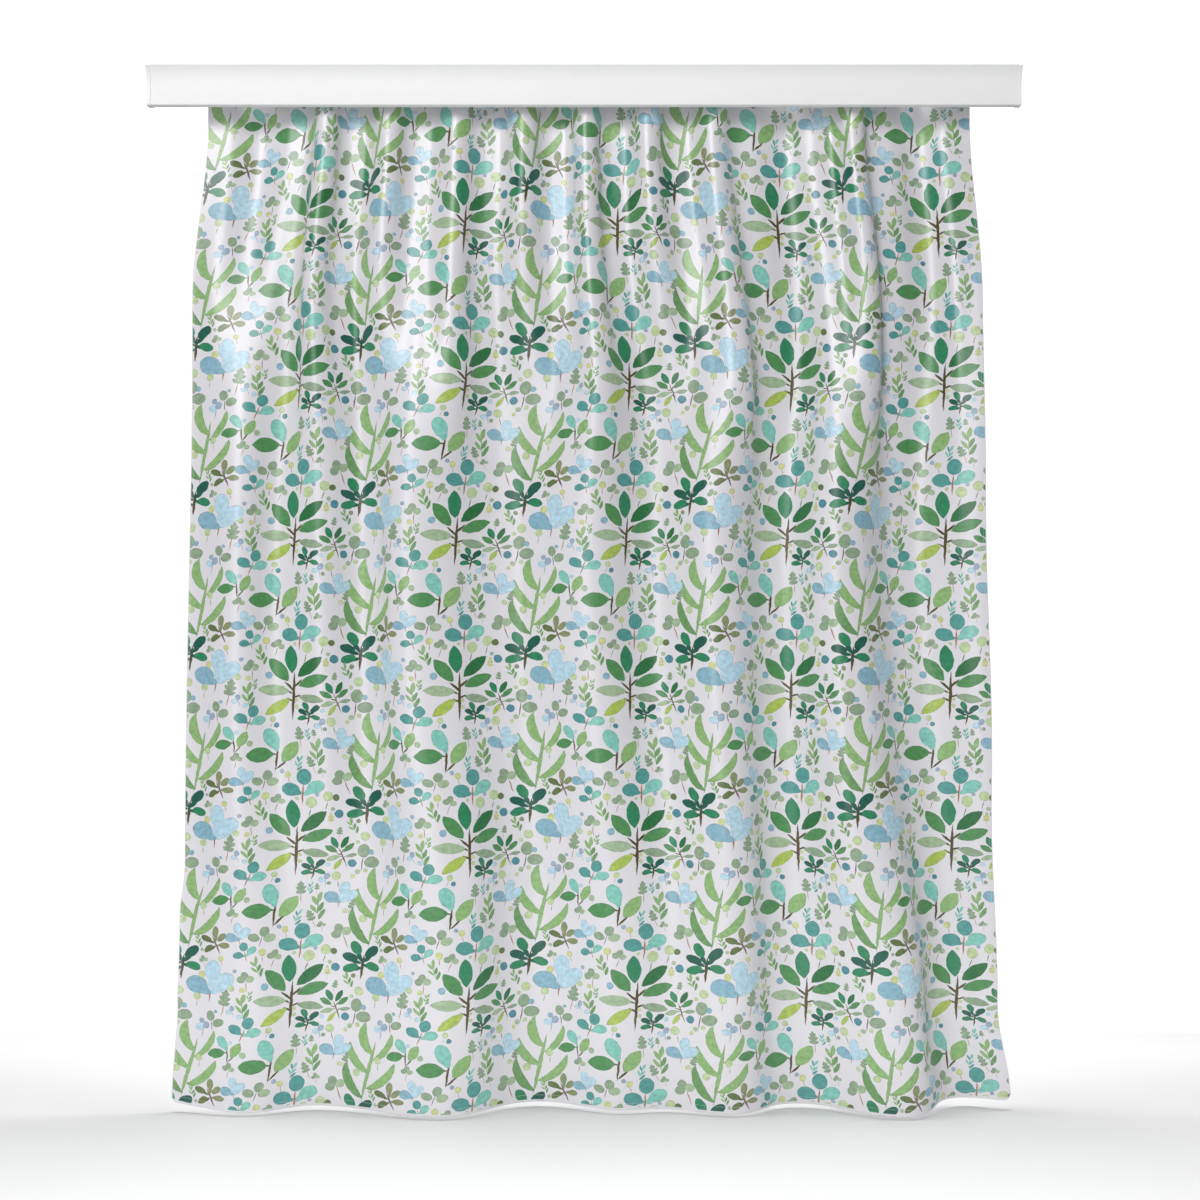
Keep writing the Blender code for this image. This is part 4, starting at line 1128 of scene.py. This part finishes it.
def hook_route(rail, low, high):
    """Route (y, z) of a hook's wire: up the back from the opening, over, and round below."""
    corner, opening, steps = 0.0048, 0.006, 10
    half, top, bottom = (high.y - low.y) / 2 - rail.wire, high.z - rail.wire, low.z + rail.wire
    middle = (low.y + high.y) / 2
    reach, rise, level = half - corner, (top - bottom) / 2 - corner, (top + bottom) / 2
    route = [(middle + half, level + opening / 2)]
    for quarter, (side, way) in enumerate(((1, 1), (-1, 1), (-1, -1), (1, -1))):
        for step in range(steps + 1):
            turn = math.pi / 2 * (quarter + step / steps)
            y = middle + side * reach + corner * math.cos(turn)
            route.append((y, level + way * rise + corner * math.sin(turn)))
    return route + [(middle + half, level - opening / 2)]


def make_hooks(rail):
    """Open wire loops between the gliders and the eyelets."""
    steel = finish("hook_wire")
    for index in range(1, len(EYELETS) + 1):
        number = f"{index:02d}"
        low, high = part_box(f"hook_{number}")
        curve = bpy.data.curves.new(f"hook_wire_{number}", "CURVE")
        curve.dimensions = "3D"
        curve.bevel_depth = rail.wire
        curve.bevel_resolution = 4
        curve.use_fill_caps = True
        spline = curve.splines.new("POLY")
        route = hook_route(rail, low, high)
        spline.points.add(len(route) - 1)
        for point, (y, z) in zip(spline.points, route):
            point.co = ((low.x + high.x) / 2, y, z, 1.0)
        mesh = outward(cast(solid("wire", curve)), 0.00001)
        shade(mesh, 50.0)
        piece = add_piece(f"hook_wire_{number}", mesh, [steel])
        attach(piece, f"hanger_{number}")
        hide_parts(f"hook_{number}")


def make_gliders(nylon):
    """Moulded runners: a head in the channel, a neck through the slot, and an eye below."""
    low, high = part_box("glider_01")
    eye_hole, eye_wall, neck, thick, head = 0.0025, 0.002, 0.003, 0.0024, 0.0035
    outer = eye_hole + eye_wall
    eye = low.z + outer
    middle = (low.y + high.y) / 2
    meet = math.asin(neck / outer)
    turns = [math.pi / 2 + meet + (2 * math.pi - 2 * meet) * index / 36 for index in range(37)]
    outline = [(outer * math.cos(turn), eye + outer * math.sin(turn)) for turn in turns]
    outline += [(neck, high.z - head / 2), (-neck, high.z - head / 2)]
    plate = extruded("glider", outline, -thick / 2, thick / 2)
    plate.transform(Matrix.Rotation(math.pi / 2, 4, "Z"))
    outward(plate)
    half = ((high.x - low.x) / 2, (high.y - low.y) / 2)
    cap = block((-half[0], -half[1], high.z - head), (*half, high.z))
    body = combined(plate, cap, "UNION")
    body = combined(body, bars([(0.0, 0.0, eye)], eye_hole, 0.01, 40), "DIFFERENCE")
    body = rounded(body, 0.0003)
    for index in range(1, len(EYELETS) + 1):
        number = f"{index:02d}"
        low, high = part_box(f"glider_{number}")
        mesh = body.copy()
        mesh.transform(Matrix.Translation(((low.x + high.x) / 2, middle, 0.0)))
        shade(mesh, 50.0)
        piece = add_piece(f"moulded_glider_{number}", mesh, [nylon])
        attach(piece, "root" if index == 1 else f"runner_{number}")
        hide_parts(f"glider_{number}")


def cove(rail, back=0.0):
    """Front outline of the fascia down its cove."""
    waist = FASCIA_LOW.y + COVE_DEPTH + back
    top = FASCIA_HIGH.z
    shares = [index / rail.cove_steps for index in range(rail.cove_steps + 1)]
    return [(waist - COVE_DEPTH * (1.0 - share) ** 3, top - COVE_HEIGHT * share) for share in shares]


def nose(radius, steps=10):
    """Quarter round at the foot of the fascia, from its front to its underside."""
    centre = (FASCIA_LOW.y + NOSE_START + NOSE_RADIUS, FASCIA_LOW.z + NOSE_RADIUS)
    turns = [math.pi + math.pi / 2 * index / steps for index in range(steps + 1)]
    return [(centre[0] + radius * math.cos(turn), centre[1] + radius * math.sin(turn)) for turn in turns]


def make_fascia(rail, white):
    """Coved fascia with its top flange, clip rib and return."""
    wall, under = rail.wall, FASCIA_HIGH.z - rail.wall
    return_back = FASCIA_LOW.y + NOSE_START + RETURN_DEPTH
    outline = cove(rail) + nose(NOSE_RADIUS)
    outline += [(return_back, FASCIA_LOW.z), (return_back, FASCIA_LOW.z + wall)]
    outline += reversed(nose(NOSE_INSIDE))
    outline += [point for point in reversed(cove(rail, wall)) if point[1] < under]
    outline += [(FASCIA_LOW.y + 2 * wall, under), (RIB_BACK - wall, under), (RIB_BACK - wall, RIB_DROP)]
    outline += [(RIB_BACK, RIB_DROP), (RIB_BACK, FASCIA_HIGH.z)]
    mesh = extruded("coved_fascia", outline, FASCIA_LOW.x, FASCIA_HIGH.x)
    shade(mesh, 35.0)
    piece = add_piece("coved_fascia", mesh, [white])
    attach(piece, "root")
    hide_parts("fascia")


def make_end_caps(rail, white):
    """End caps with rounded edges, each with a plug in the channel."""
    for name, sign in (("left", -1.0), ("right", 1.0)):
        low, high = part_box(f"end_cap_{name}")
        foot, foot_z = FASCIA_LOW.y + NOSE_START + RETURN_DEPTH, FASCIA_LOW.z
        outline = cove(rail) + nose(NOSE_RADIUS)
        for index in range(21):
            turn = math.pi / 2 * index / 20
            along = foot + (high.y - foot) * math.sin(turn)
            outline.append((along, CAP_HEEL + (foot_z - CAP_HEEL) * math.cos(turn) ** 2))
        outline.append((high.y, FASCIA_HIGH.z))
        ends = sorted((sign * (FASCIA_HIGH.x + CAP_GAP), sign * max(abs(low.x), abs(high.x))))
        mesh = rounded(extruded(f"rounded_cap_{name}", outline, *ends), rail.cap_bevel, 3)
        tip = sorted((sign * (FASCIA_HIGH.x - PLUG_REACH[0]), sign * (FASCIA_HIGH.x + PLUG_REACH[1])))
        plug = rounded(block(*((x, *corner) for x, corner in zip(tip, PLUG_SECTION))), 0.0005)
        mesh = combined(mesh, plug, "UNION")
        shade(mesh, 35.0)
        piece = add_piece(f"rounded_cap_{name}", mesh, [white])
        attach(piece, "root")
        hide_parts(f"end_cap_{name}")


# ---- operators ----

CAMERA_X, CAMERA_Z = 0.031, -1.0362
FLOOR_GAP = 0.006       # floor below the hem
FLOOR_LOW, FLOOR_HIGH = (-1.7, -1.4), (1.7, 0.6)


class CURTAIN_OT_stage(bpy.types.Operator):
    """Set the camera, the floor and the lights"""

    bl_idname = "curtain.stage"
    bl_label = "Stage"

    def execute(self, context):
        scene, settings = context.scene, context.scene.curtain_stage
        scene.view_settings.view_transform = "Standard"
        camera = bpy.data.objects.new("camera", bpy.data.cameras.new("camera"))
        camera.data.lens = settings.lens
        camera.data.sensor_width = 36.0
        camera.location = (CAMERA_X, -settings.distance, CAMERA_Z)
        camera.rotation_euler = (math.pi / 2, 0.0, 0.0)
        scene.collection.objects.link(camera)
        scene.camera = camera
        self.add_world(scene, settings.ambient)
        unlit = bpy.data.collections.new("lit_from_above_only")
        unlit.objects.link(self.add_floor())
        unlit.collection_objects[0].light_linking.link_state = "EXCLUDE"
        # A light's name, place, aim, width and height, and power.
        lights = (
            ("key_light", (-1.6, -5.2, 1.5), (0.0, 0.0, -1.0), (1.3, 2.0), settings.key),
            ("strip_light", (-1.1, -5.0, -1.0), (0.0, 0.0, -1.0), (0.25, 3.2), settings.strip),
            ("top_light", (0.0, 0.01, 1.25), (0.0, 0.01, -2.0), (3.0, 0.52), settings.top),
            ("back_light", (-1.4, 5.0, 0.8), (0.0, 0.0, -1.0), (2.0, 2.0), settings.back),
        )
        for name, place, aim, size, power in lights:
            data = bpy.data.lights.new(name, "AREA")
            data.shape = "RECTANGLE"
            data.size, data.size_y = size
            data.energy = power
            light = bpy.data.objects.new(name, data)
            light.location = place
            light.rotation_euler = (Vector(aim) - Vector(place)).to_track_quat("-Z", "Y").to_euler()
            scene.collection.objects.link(light)
            if name != "top_light":
                light.light_linking.receiver_collection = unlit
        return {"FINISHED"}

    def add_world(self, scene, strength):
        """Soft light all round, and white to the camera."""
        world = bpy.data.worlds.new("studio")
        scene.world = world
        world.use_nodes = True
        nodes, links = world.node_tree.nodes, world.node_tree.links
        lit, seen = nodes["Background"], nodes.new("ShaderNodeBackground")
        lit.inputs["Color"].default_value = (0.97, 0.98, 1.0, 1.0)
        lit.inputs["Strength"].default_value = strength
        seen.inputs["Color"].default_value = (1.0, 1.0, 1.0, 1.0)
        seen.inputs["Strength"].default_value = 1.2
        path, mix = nodes.new("ShaderNodeLightPath"), nodes.new("ShaderNodeMixShader")
        links.new(path.outputs["Is Camera Ray"], mix.inputs["Fac"])
        links.new(lit.outputs[0], mix.inputs[1])
        links.new(seen.outputs[0], mix.inputs[2])
        links.new(mix.outputs[0], nodes["World Output"].inputs["Surface"])

    def add_floor(self):
        """White floor just below the hem."""
        nodes = Nodes("floor_paint")
        cloud = nodes.noise(nodes.place(), 3.0).outputs["Fac"]
        tone = nodes.mix(nodes.spread(cloud, 0.0, 1.0), (0.84, 0.84, 0.84, 1.0), (0.86, 0.86, 0.86, 1.0))
        nodes.feed(nodes.shader.inputs["Base Color"], tone)
        nodes.shader.inputs["Roughness"].default_value = 0.9
        nodes.shader.inputs["Specular IOR Level"].default_value = 0.1
        nodes.shader.inputs["Emission Color"].default_value = (1.0, 1.0, 1.0, 1.0)
        nodes.shader.inputs["Emission Strength"].default_value = 0.17
        mesh = bpy.data.meshes.new("floor")
        (left, front), (right, back) = FLOOR_LOW, FLOOR_HIGH
        corners = ((left, front), (right, front), (right, back), (left, back))
        mesh.from_pydata([(x, y, HEM_BOTTOM - FLOOR_GAP) for x, y in corners], [], [(0, 1, 2, 3)])
        mesh.materials.append(nodes.material)
        floor = bpy.data.objects.new("floor", mesh)
        bpy.context.scene.collection.objects.link(floor)
        return floor


class CURTAIN_OT_cloth(bpy.types.Operator):
    """Make the printed panel, its header tape, hem weight and stitches"""

    bl_idname = "curtain.cloth"
    bl_label = "Curtain"

    def execute(self, context):
        settings = context.scene.curtain_cloth
        panel = make_panel(settings)
        others = [make_tape(settings), make_weight(settings)]
        others.append(make_stitches(settings, context.scene.curtain_stitches))
        return {"FINISHED"}


class CURTAIN_OT_eyelets(bpy.types.Operator):
    """Make the pressed eyelets"""

    bl_idname = "curtain.eyelets"
    bl_label = "Eyelets"

    def execute(self, context):
        make_eyelets(context.scene.curtain_rail)
        return {"FINISHED"}


class CURTAIN_OT_hooks(bpy.types.Operator):
    """Make the wire hooks"""

    bl_idname = "curtain.hooks"
    bl_label = "Hooks"

    def execute(self, context):
        make_hooks(context.scene.curtain_rail)
        return {"FINISHED"}


class CURTAIN_OT_rail(bpy.types.Operator):
    """Make the gliders, the fascia and the end caps, and finish the track's own pieces"""

    bl_idname = "curtain.rail"
    bl_label = "Rail"

    def execute(self, context):
        rail = context.scene.curtain_rail
        white, nylon, zinc = (finish(name) for name in ("white_pvc", "white_nylon", "zinc_screw"))
        make_gliders(nylon)
        make_fascia(rail, white)
        make_end_caps(rail, white)
        finishes = (("track", white), ("fascia_clip", nylon), ("end_stop", nylon), ("stop_screw", zinc))
        for name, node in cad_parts.items():
            for start, material in finishes:
                if name.startswith(start):
                    for slot in node.material_slots:
                        slot.material = material
        return {"FINISHED"}


class CURTAIN_PT_panel(bpy.types.Panel):
    """Buttons and sizes for the curtain"""

    bl_idname = "CURTAIN_PT_panel"
    bl_label = "Shower curtain"
    bl_space_type = "VIEW_3D"
    bl_region_type = "UI"
    bl_category = "Curtain"

    def draw(self, context):
        for group, operators in PANEL_ROWS:
            box = self.layout.box()
            for name in type(getattr(context.scene, group)).__annotations__:
                box.prop(getattr(context.scene, group), name)
            for operator in operators:
                box.operator(operator)


PANEL_ROWS = (
    ("curtain_stage", ("curtain.stage",)),
    ("curtain_rail", ("curtain.hooks", "curtain.eyelets", "curtain.rail")),
    ("curtain_cloth", ("curtain.cloth",)),
    ("curtain_stitches", ()),
)
GROUPS = {
    "curtain_cloth": CurtainSettings, "curtain_stitches": StitchSettings,
    "curtain_rail": RailSettings, "curtain_stage": StageSettings,
}
CLASSES = (
    *GROUPS.values(), CURTAIN_OT_stage, CURTAIN_OT_cloth, CURTAIN_OT_eyelets, CURTAIN_OT_hooks,
    CURTAIN_OT_rail, CURTAIN_PT_panel,
)


def register():
    for item in CLASSES:
        bpy.utils.register_class(item)
    for name, group in GROUPS.items():
        setattr(bpy.types.Scene, name, PointerProperty(type=group))


def unregister():
    for name in GROUPS:
        delattr(bpy.types.Scene, name)
    for item in reversed(CLASSES):
        bpy.utils.unregister_class(item)


def main():
    """Make every piece."""
    register()
    bpy.ops.curtain.stage()
    bpy.ops.curtain.rail()
    bpy.ops.curtain.hooks()
    bpy.ops.curtain.eyelets()
    bpy.ops.curtain.cloth()


if __name__ == "__main__":
    main()
